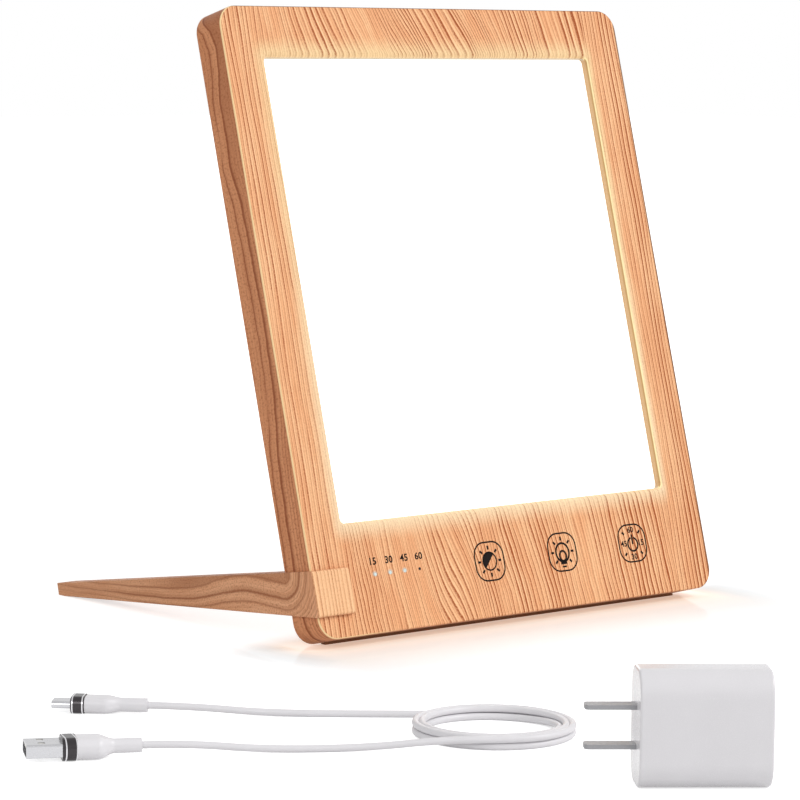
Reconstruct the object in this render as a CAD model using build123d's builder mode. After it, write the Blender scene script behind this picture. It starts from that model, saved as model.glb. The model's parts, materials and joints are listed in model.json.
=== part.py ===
from build123d import *
import math
import os

os.makedirs("parts", exist_ok=True)

# A leaning light panel in a wood-look frame, with a clip-on wedge leg, and with
# its charging lead and plug-in adapter lying on the same surface before it.
#
# Frame: X runs along the panel's width, Y from its front to its back, Z up.
# The origin is the middle of the foot strip's face, on the surface it stands on.
# Millimetres and degrees throughout.

# ---------------------------------------------------------------- dimensions

# The panel as a slab
lamp_width = 215.5
lamp_height = 250.0
lamp_depth = 16.0
lean = 15.5
corner_radius = 8.5
front_edge_radius = 0.6
back_edge_radius = 0.6

# The lit window, by the borders of wood round it
side_border = 19.8
top_border = 20.6
bottom_border = 44.1
window_recess = 3.8
window_corner_radius = 2.0
window_lip_radius = 2.2

# The frame's moulding
front_wall = 2.2
side_wall = 2.4
flange_width = 2.0
rib_thickness = 1.2
boss_radius = 3.0
pilot_radius = 1.0
pilot_length = 8.0
boss_edge_inset = 7.25
boss_end_inset = 10.0

# The stack behind the window
panel_overlap = 5.0
pane_clearance = 0.2
diffuser_thickness = 2.0
film_thickness = 0.3
guide_thickness = 3.0
reflector_thickness = 0.3
backing_thickness = 1.0

# Light strips along the two long edges of the light guide
strip_thickness = 1.0
strip_end_gap = 1.5
strip_led_height = 0.8
strip_led_length = 2.8
strip_led_width = 2.4
strip_led_pitch = 7.5
strip_led_air = 0.3

# Rear cover
cover_thickness = 2.2
cover_gap = 0.15
cover_edge_chamfer = 0.3
cover_rib_thickness = 1.4
countersink_radius = 2.5
screw_hole_radius = 1.3

# Casing screws
screw_head_radius = 2.3
screw_head_sink = 0.15
screw_shank_radius = 0.95
screw_length = 8.5
recess_width = 0.6
recess_span = 2.4
recess_depth = 0.7

# Foot strip let into the bottom wall, with its face flat on the surface
foot_length = 192.0
foot_width = 2.4
foot_back_inset = 0.8
foot_lift = 0.15
foot_pocket = 0.8
foot_gap = 0.1

# Control row
control_height = 22.8
timer_inset = 31.85
timer_pitch = 7.65
timer_count = 4
key_inset = 42.8
key_pitch = 40.3
key_count = 3
pipe_radius = 0.6
pipe_hole_gap = 0.05
pipe_flange_radius = 1.6
pipe_flange_thickness = 0.8

# Control board
pad_thickness = 3.0
pad_side = 9.0
pad_corner_radius = 1.8
board_thickness = 1.2
board_height = 24.0
board_corner_radius = 1.0
board_end_margin = 8.0
board_boss_radius = 2.2
board_screw_radius = 0.8
board_screw_length = 3.6
board_screw_head_radius = 1.7
board_screw_head_height = 1.1
board_boss_inset = 3.4
timer_led_side = 1.6
timer_led_height = 0.6

# Power inlet, a USB-C receptacle standing on the board
inlet_width = 8.94
inlet_height = 3.26
inlet_wall = 0.3
inlet_mouth_sink = 0.5
inlet_hole_gap = 0.25
inlet_tongue_width = 6.7
inlet_tongue_thickness = 0.7
inlet_tongue_setback = 0.8
inlet_base_height = 2.0

# Parts on the board's rear
chip_length = 6.5
chip_width = 5.0
chip_height = 1.6
inductor_side = 6.0
inductor_height = 2.8
inductor_corner_radius = 1.2
capacitor_radius = 2.5
capacitor_height = 5.0
capacitor_gap = 2.5
connector_length = 6.0
connector_width = 4.0
connector_height = 2.4
tail_width = 2.0
tail_thickness = 0.3

# Stand leg with its clip
clip_gap = 0.12
clip_web = 1.4
clip_tab_thickness = 2.2
clip_reach = 17.8
clip_bottom = 8.6
clip_top = 26.8
clip_corner_radius = 1.5
clip_edge_radius = 0.5
leg_thickness = 10.0
leg_reach = 157.4
leg_tip_height = 4.9
leg_tip_lean = 1.2
leg_tip_flat = 4.0
leg_tip_radius = 1.2

# How the lead and the adapter lie before the lamp
lay_angle = 38.0
coil_x = -159.6
coil_y = -164.7
adapter_x = -160.6
adapter_y = -263.2

# Charging lead
cord_diameter = 2.5
coil_turn_radius = 27.75
coil_turns_beside = 3
coil_layers = 2
coil_edge_chamfer = 0.7
coil_notch_reach = 15.0
coil_notch_gap = 0.3
coil_notch_side_gap = 0.6
coil_exit = 3.0
corner_share = 0.45

# Plug bodies on the lead
# A section's corner radius is never quite half its width, which leaves it a flat
roundness = 0.45
neck_width = 4.8
neck_length = 8.8
shoulder_length = 6.0
shoulder_steps = 6
grip_length = 21.5
collar_length = 4.9
collar_step = 0.25
small_grip_width = 9.9
small_grip_height = 5.6
small_shell_width = 8.34
small_shell_height = 2.56
small_shell_length = 6.7
small_shell_corner = 1.27
large_grip_width = 12.6
large_grip_height = 7.2
large_shell_width = 12.0
large_shell_height = 4.5
large_shell_length = 11.8
large_shell_corner = 0.7
shell_wall = 0.35
insert_setback = 0.6
small_slot_width = 6.7
small_slot_height = 0.9
large_insert_height = 1.9
latch_hole_side = 2.3
latch_hole_spread = 5.6
latch_hole_setback = 5.2

# Adapter
adapter_length = 42.6
adapter_height = 38.0
adapter_thickness = 24.0
adapter_radius = 8.5
adapter_wall = 2.0
adapter_cap_thickness = 3.0
adapter_edge_radius = 0.8
adapter_lip_length = 2.5
adapter_fit = 0.1
blade_spacing = 12.7
blade_width = 6.35
blade_thickness = 1.5
blade_length = 16.4
blade_root = 3.0
blade_tip_radius = 1.6
port_width = 12.5
port_height = 5.1
port_wall = 0.3
port_depth = 14.0
port_tongue_width = 11.1
port_tongue_thickness = 1.9
port_tongue_setback = 1.5
adapter_board_thickness = 1.6
adapter_board_margin = 1.5
transformer_length = 14.0
transformer_width = 13.0
transformer_height = 9.0

# ------------------------------------------------------------ worked-out sizes

lean_sin = math.sin(math.radians(lean))
lean_cos = math.cos(math.radians(lean))
lean_tan = lean_sin / lean_cos

bottom_rise = lamp_depth * lean_sin + foot_lift
foot_back = lamp_depth - foot_back_inset
foot_front = foot_back - foot_width
foot_middle = (foot_front + foot_back) / 2

window_width = lamp_width - 2 * side_border
window_height = lamp_height - top_border - bottom_border
window_centre = bottom_border + window_height / 2

film_depth = window_recess + diffuser_thickness
guide_depth = film_depth + film_thickness
reflector_depth = guide_depth + guide_thickness
backing_depth = reflector_depth + reflector_thickness
stack_depth = backing_depth + backing_thickness
cover_seat = lamp_depth - cover_thickness

pane_width = window_width + 2 * panel_overlap
pane_height = window_height + 2 * panel_overlap
guide_width = pane_width - 2 * (strip_thickness + strip_led_height + strip_led_air)
strip_length = pane_height - 2 * strip_end_gap
strip_led_count = int((strip_length - strip_led_length) / strip_led_pitch) + 1

board_depth = front_wall + pad_thickness
board_rear = board_depth + board_thickness
timer_x = [-lamp_width / 2 + timer_inset + i * timer_pitch for i in range(timer_count)]
key_x = [lamp_width / 2 - key_inset - i * key_pitch for i in range(key_count)]
board_left = min(timer_x) - board_end_margin
board_right = max(key_x) + pad_side / 2 + board_end_margin
board_width = board_right - board_left
board_middle = (board_left + board_right) / 2
tail_depth = guide_depth + (guide_thickness - tail_thickness) / 2
connector_x = [board_left + connector_length, board_right - connector_length]
tail_x = (pane_width - tail_width) / 2

cord_radius = cord_diameter / 2
lay_cos = math.cos(math.radians(lay_angle))
lay_sin = math.sin(math.radians(lay_angle))

# ------------------------------------------------------------- planes and axes


def surface_height(depth):
    """Where the surface lies that far behind the face, measured up the panel from its lower edge."""
    return (depth - lamp_depth) * lean_tan - foot_lift / lean_cos


foot_middle_y = foot_middle * lean_cos + surface_height(foot_middle) * lean_sin

# The panel's front face: x across it, y up it, and its normal out to the front
face = Plane(
    origin=(0, -foot_middle_y, bottom_rise),
    x_dir=(1, 0, 0),
    z_dir=(0, -lean_cos, lean_sin),
)
back = Plane(
    origin=face.offset(-lamp_depth).origin,
    x_dir=(-1, 0, 0),
    z_dir=(0, lean_cos, -lean_sin),
)
front_axis = Axis(face.origin, face.z_dir)


def at_depth(depth):
    """A plane parallel to the panel's front face and this far behind it."""
    return face.offset(-depth)


def beside(depth, height):
    """The (Y, Z) place of a point that far behind the face and that far up it."""
    y = -foot_middle_y + depth * lean_cos + height * lean_sin
    z = bottom_rise - depth * lean_sin + height * lean_cos
    return (y, z)


def lay_point(along, nearer, height):
    """A point of the lead: along its lay to the right and nearer the front, from the coil's middle."""
    x = coil_x + along * lay_cos - nearer * lay_sin
    y = coil_y - along * lay_sin - nearer * lay_cos
    return Vector(x, y, height)


def slab_outline(inset):
    """The panel's outline, drawn that far inside its edge."""
    with Locations((0, lamp_height / 2)):
        RectangleRounded(lamp_width - 2 * inset, lamp_height - 2 * inset, corner_radius - inset)


def window_outline(margin, radius):
    """The window's outline, drawn that far outside its edge."""
    with Locations((0, window_centre)):
        RectangleRounded(window_width + 2 * margin, window_height + 2 * margin, radius)


boss_x = lamp_width / 2 - boss_edge_inset
boss_heights = (boss_end_inset, lamp_height / 2, lamp_height - boss_end_inset)
boss_points = [(side * boss_x, height) for height in boss_heights for side in (-1, 1)]

board_boss_x = board_width / 2 - board_boss_inset
board_boss_y = board_height / 2 - board_boss_inset
board_points = [
    (board_middle + across * board_boss_x, control_height + up * board_boss_y)
    for across in (-1, 1)
    for up in (-1, 1)
]
timer_points = [(x, control_height) for x in timer_x]
key_points = [(x, control_height) for x in key_x]

# ---------------------------------------------------------------- frame housing

rib_margin = panel_overlap + pane_clearance

with BuildPart() as frame_housing:
    with BuildSketch(face):
        slab_outline(0)
    extrude(amount=-lamp_depth)
    fillet(frame_housing.faces().sort_by(front_axis)[-1].edges(), front_edge_radius)
    fillet(frame_housing.faces().sort_by(front_axis)[0].edges(), back_edge_radius)
    # Hollow from the rear
    with BuildSketch(at_depth(front_wall)):
        slab_outline(side_wall)
    extrude(amount=front_wall - lamp_depth, mode=Mode.SUBTRACT)
    # Flange that carries the window's lip back to the diffuser
    with BuildSketch(at_depth(front_wall)):
        window_outline(flange_width, window_corner_radius + flange_width)
    extrude(amount=front_wall - window_recess)
    # Rib that locates the stack of panes
    with BuildSketch(at_depth(front_wall)):
        window_outline(rib_margin + rib_thickness, window_corner_radius)
        with Locations((0, window_centre)):
            Rectangle(
                window_width + 2 * rib_margin,
                window_height + 2 * rib_margin,
                mode=Mode.SUBTRACT,
            )
    extrude(amount=front_wall - stack_depth)
    # Bosses for the cover's screws and for the board
    with BuildSketch(at_depth(front_wall)):
        with Locations(*boss_points):
            Circle(boss_radius)
    extrude(amount=front_wall - cover_seat)
    with BuildSketch(at_depth(front_wall)):
        with Locations(*board_points):
            Circle(board_boss_radius)
    extrude(amount=front_wall - board_depth)
    with BuildSketch(at_depth(cover_seat)):
        with Locations(*boss_points):
            Circle(pilot_radius)
    extrude(amount=pilot_length, mode=Mode.SUBTRACT)
    with BuildSketch(at_depth(board_depth)):
        with Locations(*board_points):
            Circle(board_screw_radius)
    extrude(amount=pad_thickness, mode=Mode.SUBTRACT)
    # The window and its rolled lip
    with BuildSketch(face):
        window_outline(0, window_corner_radius)
    extrude(amount=-window_recess, mode=Mode.SUBTRACT)
    front_face = frame_housing.faces().sort_by(front_axis)[-1]
    fillet(front_face.inner_wires()[0].edges(), window_lip_radius)
    # Holes for the timer lights
    with BuildSketch(face):
        with Locations(*timer_points):
            Circle(pipe_radius + pipe_hole_gap)
    extrude(amount=-front_wall, mode=Mode.SUBTRACT)
    # Pocket for the foot strip
    with BuildSketch(Plane.YZ.offset(-foot_length / 2 - foot_gap)):
        with BuildLine():
            Polyline(
                beside(foot_front - foot_gap, foot_pocket),
                beside(foot_back + foot_gap, foot_pocket),
                beside(foot_back + foot_gap, -foot_width),
                beside(foot_front - foot_gap, -foot_width),
                close=True,
            )
        make_face()
    extrude(amount=foot_length + 2 * foot_gap, mode=Mode.SUBTRACT)
    # Notches that let the strips' tails out of the rib
    with BuildSketch(at_depth(guide_depth)):
        with Locations(
            (-tail_x, window_centre - pane_height / 2 - rib_thickness),
            (tail_x, window_centre - pane_height / 2 - rib_thickness),
        ):
            Rectangle(tail_width + 2 * pane_clearance, 2 * rib_thickness + 2 * pane_clearance)
    extrude(amount=guide_depth - stack_depth, mode=Mode.SUBTRACT)
frame_housing.part.label = "frame_housing"
export_step(frame_housing.part, "parts/frame_housing.step")

# ------------------------------------------------------------------- rear cover

cover_inset = side_wall + cover_gap
inlet_depth = lamp_depth - inlet_mouth_sink

with BuildPart() as rear_cover:
    with BuildSketch(at_depth(cover_seat)):
        slab_outline(cover_inset)
    extrude(amount=-cover_thickness)
    chamfer(rear_cover.faces().sort_by(front_axis)[0].edges(), cover_edge_chamfer)
    # Ribs that press the stack against the window's flange
    with BuildSketch(at_depth(cover_seat)):
        with Locations((0, window_centre)):
            with GridLocations(window_width / 2, 0, 2, 1):
                Rectangle(cover_rib_thickness, window_height)
            with GridLocations(0, window_height / 2, 1, 2):
                Rectangle(window_width, cover_rib_thickness)
    extrude(amount=cover_seat - stack_depth)
    with Locations(back):
        with Locations(*boss_points):
            CounterSinkHole(
                screw_hole_radius,
                countersink_radius,
                depth=2 * cover_thickness,
                counter_sink_angle=90,
            )
    # Opening for the power inlet, at the middle of the lower edge
    with BuildSketch(at_depth(cover_seat)):
        with Locations((0, control_height)):
            SlotOverall(inlet_width + 2 * inlet_hole_gap, inlet_height + 2 * inlet_hole_gap)
    extrude(amount=-cover_thickness, mode=Mode.SUBTRACT)
rear_cover.part.label = "rear_cover"
export_step(rear_cover.part, "parts/rear_cover.step")

with BuildPart() as casing_screws:
    with BuildSketch(back.offset(-screw_head_sink)):
        with Locations(*boss_points):
            Circle(screw_head_radius)
    extrude(amount=-(screw_head_radius - screw_shank_radius), taper=45)
    with BuildSketch(back.offset(-screw_head_sink)):
        with Locations(*boss_points):
            Circle(screw_shank_radius)
    extrude(amount=-screw_length)
    with BuildSketch(back.offset(-screw_head_sink)):
        with Locations(*boss_points):
            Rectangle(recess_span, recess_width)
            Rectangle(recess_width, recess_span)
    extrude(amount=-recess_depth, mode=Mode.SUBTRACT)
casing_screws.part.label = "casing_screws"
export_step(casing_screws.part, "parts/casing_screws.step")

# ------------------------------------------------------------------- foot strip

with BuildPart() as foot_strip:
    with BuildSketch(Plane.YZ.offset(-foot_length / 2)):
        with BuildLine():
            Polyline(
                beside(foot_front, foot_pocket),
                beside(foot_back, foot_pocket),
                beside(foot_back, surface_height(foot_back)),
                beside(foot_front, surface_height(foot_front)),
                close=True,
            )
        make_face()
    extrude(amount=foot_length)
foot_strip.part.label = "foot_strip"
export_step(foot_strip.part, "parts/foot_strip.step")

# -------------------------------------------------- panes behind the lit window

with BuildPart() as diffuser_panel:
    with BuildSketch(at_depth(window_recess)):
        window_outline(panel_overlap, window_corner_radius)
    extrude(amount=-diffuser_thickness)
diffuser_panel.part.label = "diffuser_panel"
export_step(diffuser_panel.part, "parts/diffuser_panel.step")

with BuildPart() as diffusion_film:
    with BuildSketch(at_depth(film_depth)):
        window_outline(panel_overlap, window_corner_radius)
    extrude(amount=-film_thickness)
diffusion_film.part.label = "diffusion_film"
export_step(diffusion_film.part, "parts/diffusion_film.step")

with BuildPart() as light_guide:
    with BuildSketch(at_depth(guide_depth)):
        with Locations((0, window_centre)):
            Rectangle(guide_width, pane_height)
    extrude(amount=-guide_thickness)
light_guide.part.label = "light_guide"
export_step(light_guide.part, "parts/light_guide.step")

with BuildPart() as reflector_sheet:
    with BuildSketch(at_depth(reflector_depth)):
        window_outline(panel_overlap, window_corner_radius)
    extrude(amount=-reflector_thickness)
reflector_sheet.part.label = "reflector_sheet"
export_step(reflector_sheet.part, "parts/reflector_sheet.step")

with BuildPart() as backing_plate:
    with BuildSketch(at_depth(backing_depth)):
        window_outline(panel_overlap, window_corner_radius)
    extrude(amount=-backing_thickness)
backing_plate.part.label = "backing_plate"
export_step(backing_plate.part, "parts/backing_plate.step")

# ----------------------------------------------------------------- light strips

for name, side in (("left", -1), ("right", 1)):
    strip_x = side * (pane_width / 2 - strip_thickness / 2)
    led_x = side * (guide_width / 2 + strip_led_air + strip_led_height / 2)

    with BuildPart() as led_strip:
        with BuildSketch(at_depth(guide_depth)):
            with Locations((strip_x, window_centre)):
                Rectangle(strip_thickness, strip_length)
        extrude(amount=-guide_thickness)
    led_strip.part.label = f"led_strip_{name}"
    export_step(led_strip.part, f"parts/led_strip_{name}.step")

    with BuildPart() as strip_leds:
        with BuildSketch(at_depth(guide_depth + (guide_thickness - strip_led_width) / 2)):
            with Locations((led_x, window_centre)):
                with GridLocations(0, strip_led_pitch, 1, strip_led_count):
                    Rectangle(strip_led_height, strip_led_length)
        extrude(amount=-strip_led_width)
    strip_leds.part.label = f"strip_leds_{name}"
    export_step(strip_leds.part, f"parts/strip_leds_{name}.step")

# ---------------------------------------------------- control board and its row

with BuildPart() as control_board:
    with BuildSketch(at_depth(board_depth)):
        with Locations((board_middle, control_height)):
            RectangleRounded(board_width, board_height, board_corner_radius)
        with Locations(*board_points):
            Circle(board_screw_radius + pipe_hole_gap, mode=Mode.SUBTRACT)
    extrude(amount=-board_thickness)
control_board.part.label = "control_board"
export_step(control_board.part, "parts/control_board.step")

with BuildPart() as board_screws:
    with BuildSketch(at_depth(board_rear)):
        with Locations(*board_points):
            Circle(board_screw_head_radius)
    extrude(amount=-board_screw_head_height)
    with BuildSketch(at_depth(board_rear)):
        with Locations(*board_points):
            Circle(board_screw_radius)
    extrude(amount=board_screw_length)
board_screws.part.label = "board_screws"
export_step(board_screws.part, "parts/board_screws.step")

with BuildPart() as touch_pads:
    with BuildSketch(at_depth(front_wall)):
        with Locations(*key_points):
            RectangleRounded(pad_side, pad_side, pad_corner_radius)
    extrude(amount=-pad_thickness)
touch_pads.part.label = "touch_pads"
export_step(touch_pads.part, "parts/touch_pads.step")

with BuildPart() as timer_leds:
    with BuildSketch(at_depth(board_depth)):
        with Locations(*timer_points):
            Rectangle(timer_led_side, timer_led_side)
    extrude(amount=timer_led_height)
timer_leds.part.label = "timer_leds"
export_step(timer_leds.part, "parts/timer_leds.step")

with BuildPart() as light_pipes:
    with BuildSketch(face):
        with Locations(*timer_points):
            Circle(pipe_radius)
    extrude(amount=timer_led_height - board_depth)
    with BuildSketch(at_depth(front_wall)):
        with Locations(*timer_points):
            Circle(pipe_flange_radius)
    extrude(amount=-pipe_flange_thickness)
light_pipes.part.label = "light_pipes"
export_step(light_pipes.part, "parts/light_pipes.step")

# ------------------------------------------------------------------ power inlet

with BuildPart() as inlet_shell:
    with BuildSketch(at_depth(board_rear)):
        with Locations((0, control_height)):
            SlotOverall(inlet_width, inlet_height)
            SlotOverall(inlet_width - 2 * inlet_wall, inlet_height - 2 * inlet_wall, mode=Mode.SUBTRACT)
    extrude(amount=board_rear - inlet_depth)
inlet_shell.part.label = "inlet_shell"
export_step(inlet_shell.part, "parts/inlet_shell.step")

with BuildPart() as inlet_tongue:
    with BuildSketch(at_depth(board_rear)):
        with Locations((0, control_height)):
            SlotOverall(inlet_width - 2 * inlet_wall, inlet_height - 2 * inlet_wall)
    extrude(amount=-inlet_base_height)
    with BuildSketch(at_depth(board_rear)):
        with Locations((0, control_height)):
            Rectangle(inlet_tongue_width, inlet_tongue_thickness)
    extrude(amount=board_rear - inlet_depth + inlet_tongue_setback)
inlet_tongue.part.label = "inlet_tongue"
export_step(inlet_tongue.part, "parts/inlet_tongue.step")

# ------------------------------------------------------ parts on the board rear

chip_x = board_middle - board_width / 4
inductor_x = board_middle + board_width / 8
capacitor_x = board_middle + board_width / 4

with BuildPart() as control_chip:
    with BuildSketch(at_depth(board_rear)):
        with Locations((chip_x, control_height)):
            Rectangle(chip_length, chip_width)
    extrude(amount=-chip_height)
control_chip.part.label = "control_chip"
export_step(control_chip.part, "parts/control_chip.step")

with BuildPart() as power_inductor:
    with BuildSketch(at_depth(board_rear)):
        with Locations((inductor_x, control_height)):
            RectangleRounded(inductor_side, inductor_side, inductor_corner_radius)
    extrude(amount=-inductor_height)
power_inductor.part.label = "power_inductor"
export_step(power_inductor.part, "parts/power_inductor.step")

with BuildPart() as filter_capacitors:
    with BuildSketch(at_depth(board_rear)):
        with Locations((capacitor_x, control_height)):
            with GridLocations(0, 2 * capacitor_radius + capacitor_gap, 1, 2):
                Circle(capacitor_radius)
    extrude(amount=-capacitor_height)
filter_capacitors.part.label = "filter_capacitors"
export_step(filter_capacitors.part, "parts/filter_capacitors.step")

with BuildPart() as strip_connectors:
    with BuildSketch(at_depth(board_rear)):
        with Locations(*[(x, control_height) for x in connector_x]):
            Rectangle(connector_length, connector_width)
    extrude(amount=-connector_height)
strip_connectors.part.label = "strip_connectors"
export_step(strip_connectors.part, "parts/strip_connectors.step")

# Flat tails from the connectors, out to the side and up to the strips' lower ends
tail_top = window_centre - strip_length / 2
with BuildPart() as strip_tails:
    with BuildSketch(at_depth(tail_depth)):
        for side, x in zip((-1, 1), connector_x):
            start_x = x + side * connector_length / 2
            end_x = side * (tail_x + tail_width / 2)
            with Locations(((start_x + end_x) / 2, control_height)):
                Rectangle(abs(end_x - start_x), tail_width)
            rise = tail_top - control_height + tail_width / 2
            with Locations((side * tail_x, tail_top - rise / 2)):
                Rectangle(tail_width, rise)
    extrude(amount=-tail_thickness)
strip_tails.part.label = "strip_tails"
export_step(strip_tails.part, "parts/strip_tails.step")

# -------------------------------------------------------------------- stand leg

slab_left = -lamp_width / 2
leg_outer_x = slab_left - clip_gap - clip_web
leg_inner_x = leg_outer_x + leg_thickness
clip_end_x = slab_left + clip_reach
clip_span = clip_end_x - leg_outer_x

with BuildPart() as stand_leg:
    with BuildSketch(Plane.YZ.offset(leg_outer_x)):
        with BuildLine():
            Polyline(
                beside(-clip_gap - clip_tab_thickness, clip_bottom),
                (leg_reach - leg_tip_lean - leg_tip_flat, 0),
                (leg_reach - leg_tip_lean, 0),
                (leg_reach, leg_tip_height),
                beside(-clip_gap - clip_tab_thickness, clip_top),
                close=True,
            )
        make_face()
        fillet(vertices().sort_by(Axis.Y)[-2:], leg_tip_radius)
    extrude(amount=clip_span)
    # Behind the front tab the leg is only as thick as its plate
    with BuildSketch(at_depth(-clip_gap)):
        with Locations((leg_inner_x, 0)):
            Rectangle(clip_span, lamp_height, align=(Align.MIN, Align.MIN))
    extrude(amount=-2 * leg_reach, mode=Mode.SUBTRACT)
    # The jaw that slides over the panel's edge
    with BuildSketch(at_depth(-clip_gap)):
        with Locations((slab_left - clip_gap, 0)):
            Rectangle(clip_span, lamp_height, align=(Align.MIN, Align.MIN))
    extrude(amount=-lamp_depth - 2 * clip_gap, mode=Mode.SUBTRACT)
    tab_end = stand_leg.faces().sort_by(Axis.X)[-1].edges().sort_by(Axis.Z)
    fillet([tab_end[0], tab_end[-1]], clip_corner_radius)
    fillet(stand_leg.faces().sort_by(Axis.X)[0].edges(), clip_edge_radius)
stand_leg.part.label = "stand_leg"
export_step(stand_leg.part, "parts/stand_leg.step")

# ---------------------------------------------------------------- charging lead

# Both leads leave the coil on its left: the one to the small plug from its far
# side at the surface, the other from its near side over the lower turns.
# The points run from the coil to the plug, along the lay, nearer and up.
upper_turn_height = cord_diameter + cord_radius
small_axis_height = small_grip_height / 2 + collar_step
large_axis_height = large_grip_height / 2 + collar_step
small_lead = [
    (-coil_exit, -coil_turn_radius, cord_radius),
    (-37.0, -coil_turn_radius, cord_radius),
    (-76.0, -29.4, cord_radius),
    (-101.0, -31.9, small_axis_height),
    (-117.0, -34.0, small_axis_height),
]
large_lead = [
    (-coil_exit, coil_turn_radius, upper_turn_height),
    (-18.0, coil_turn_radius, upper_turn_height),
    (-45.0, 28.5, cord_radius),
    (-78.0, 30.8, cord_radius),
    (-103.0, 33.6, large_axis_height),
    (-118.0, 35.9, large_axis_height),
]


def corner_radii(points):
    """The arc at each corner of a route: it takes up an even share of the shorter run beside it."""
    radii = []
    for before, corner, after in zip(points, points[1:], points[2:]):
        turn = math.radians((corner - before).get_angle(after - corner))
        shorter = min((corner - before).length, (after - corner).length)
        radii.append(corner_share * shorter / math.tan(turn / 2))
    return radii


def lead_line(points):
    """The centreline of one lead: straight runs joined by tangent arcs."""
    with BuildLine() as line:
        FilletPolyline(*points, radius=corner_radii(points))
    return line.wire()


for name, route in (("small", small_lead), ("large", large_lead)):
    points = [lay_point(*place) for place in route]
    path = lead_line(points)
    with BuildPart() as cable_lead:
        with BuildSketch(Plane(origin=points[0], z_dir=path % 0)):
            Circle(cord_radius)
        sweep(path=path)
    cable_lead.part.label = f"cable_lead_{name}"
    export_step(cable_lead.part, f"parts/cable_lead_{name}.step")
    share = cable_lead.part.volume / (math.pi * cord_radius**2 * path.length)
    print(f"lead {name}: {path.length:.1f} mm, volume against section x length {share:.4f}")
    print("  arc radii", [round(radius) for radius in corner_radii(points)])

coil_outer = coil_turn_radius + cord_radius
coil_inner = coil_outer - coil_turns_beside * cord_diameter
coil_height = coil_layers * cord_diameter
coil_centre = Plane(origin=lay_point(0, 0, 0), x_dir=(lay_cos, -lay_sin, 0), z_dir=(0, 0, 1))

with BuildPart() as cable_coil:
    with BuildSketch(coil_centre):
        Circle(coil_outer)
        Circle(coil_inner, mode=Mode.SUBTRACT)
    extrude(amount=coil_height)
    chamfer(cable_coil.edges().filter_by(GeomType.CIRCLE), coil_edge_chamfer)
    # Notches where the two leads run in beside the outer turn
    for nearer, base in ((-1, 0), (1, coil_height / 2)):
        with BuildSketch(coil_centre.offset(base - coil_notch_gap)):
            with Locations((-coil_exit, -nearer * (coil_turn_radius + coil_notch_side_gap / 2))):
                Rectangle(
                    coil_notch_reach,
                    cord_diameter + 2 * coil_notch_side_gap,
                    align=(Align.MAX, Align.CENTER),
                )
        extrude(amount=cord_diameter + 2 * coil_notch_gap, mode=Mode.SUBTRACT)
cable_coil.part.label = "cable_coil"
export_step(cable_coil.part, "parts/cable_coil.step")


def plug_plane(route):
    """The plane across a plug where its lead comes out: x level, y up, normal to the plug's tip."""
    end = lay_point(*route[-1])
    way = end - lay_point(*route[-2])
    level = Vector(way.X, way.Y, 0)
    return Plane(origin=end, x_dir=Vector(0, 0, 1).cross(level), z_dir=level)


def grip_outline(share, width, height):
    """One section of a grip: its neck at share 0, its full size at share 1."""
    across = neck_width + share * (width - neck_width)
    up = neck_width + share * (height - neck_width)
    RectangleRounded(across, up, roundness * min(across, up))


small_grip = (small_grip_width, small_grip_height)
large_grip = (large_grip_width, large_grip_height)
small_shell = (small_shell_width, small_shell_height, small_shell_length, small_shell_corner)
large_shell = (large_shell_width, large_shell_height, large_shell_length, large_shell_corner)

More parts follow.
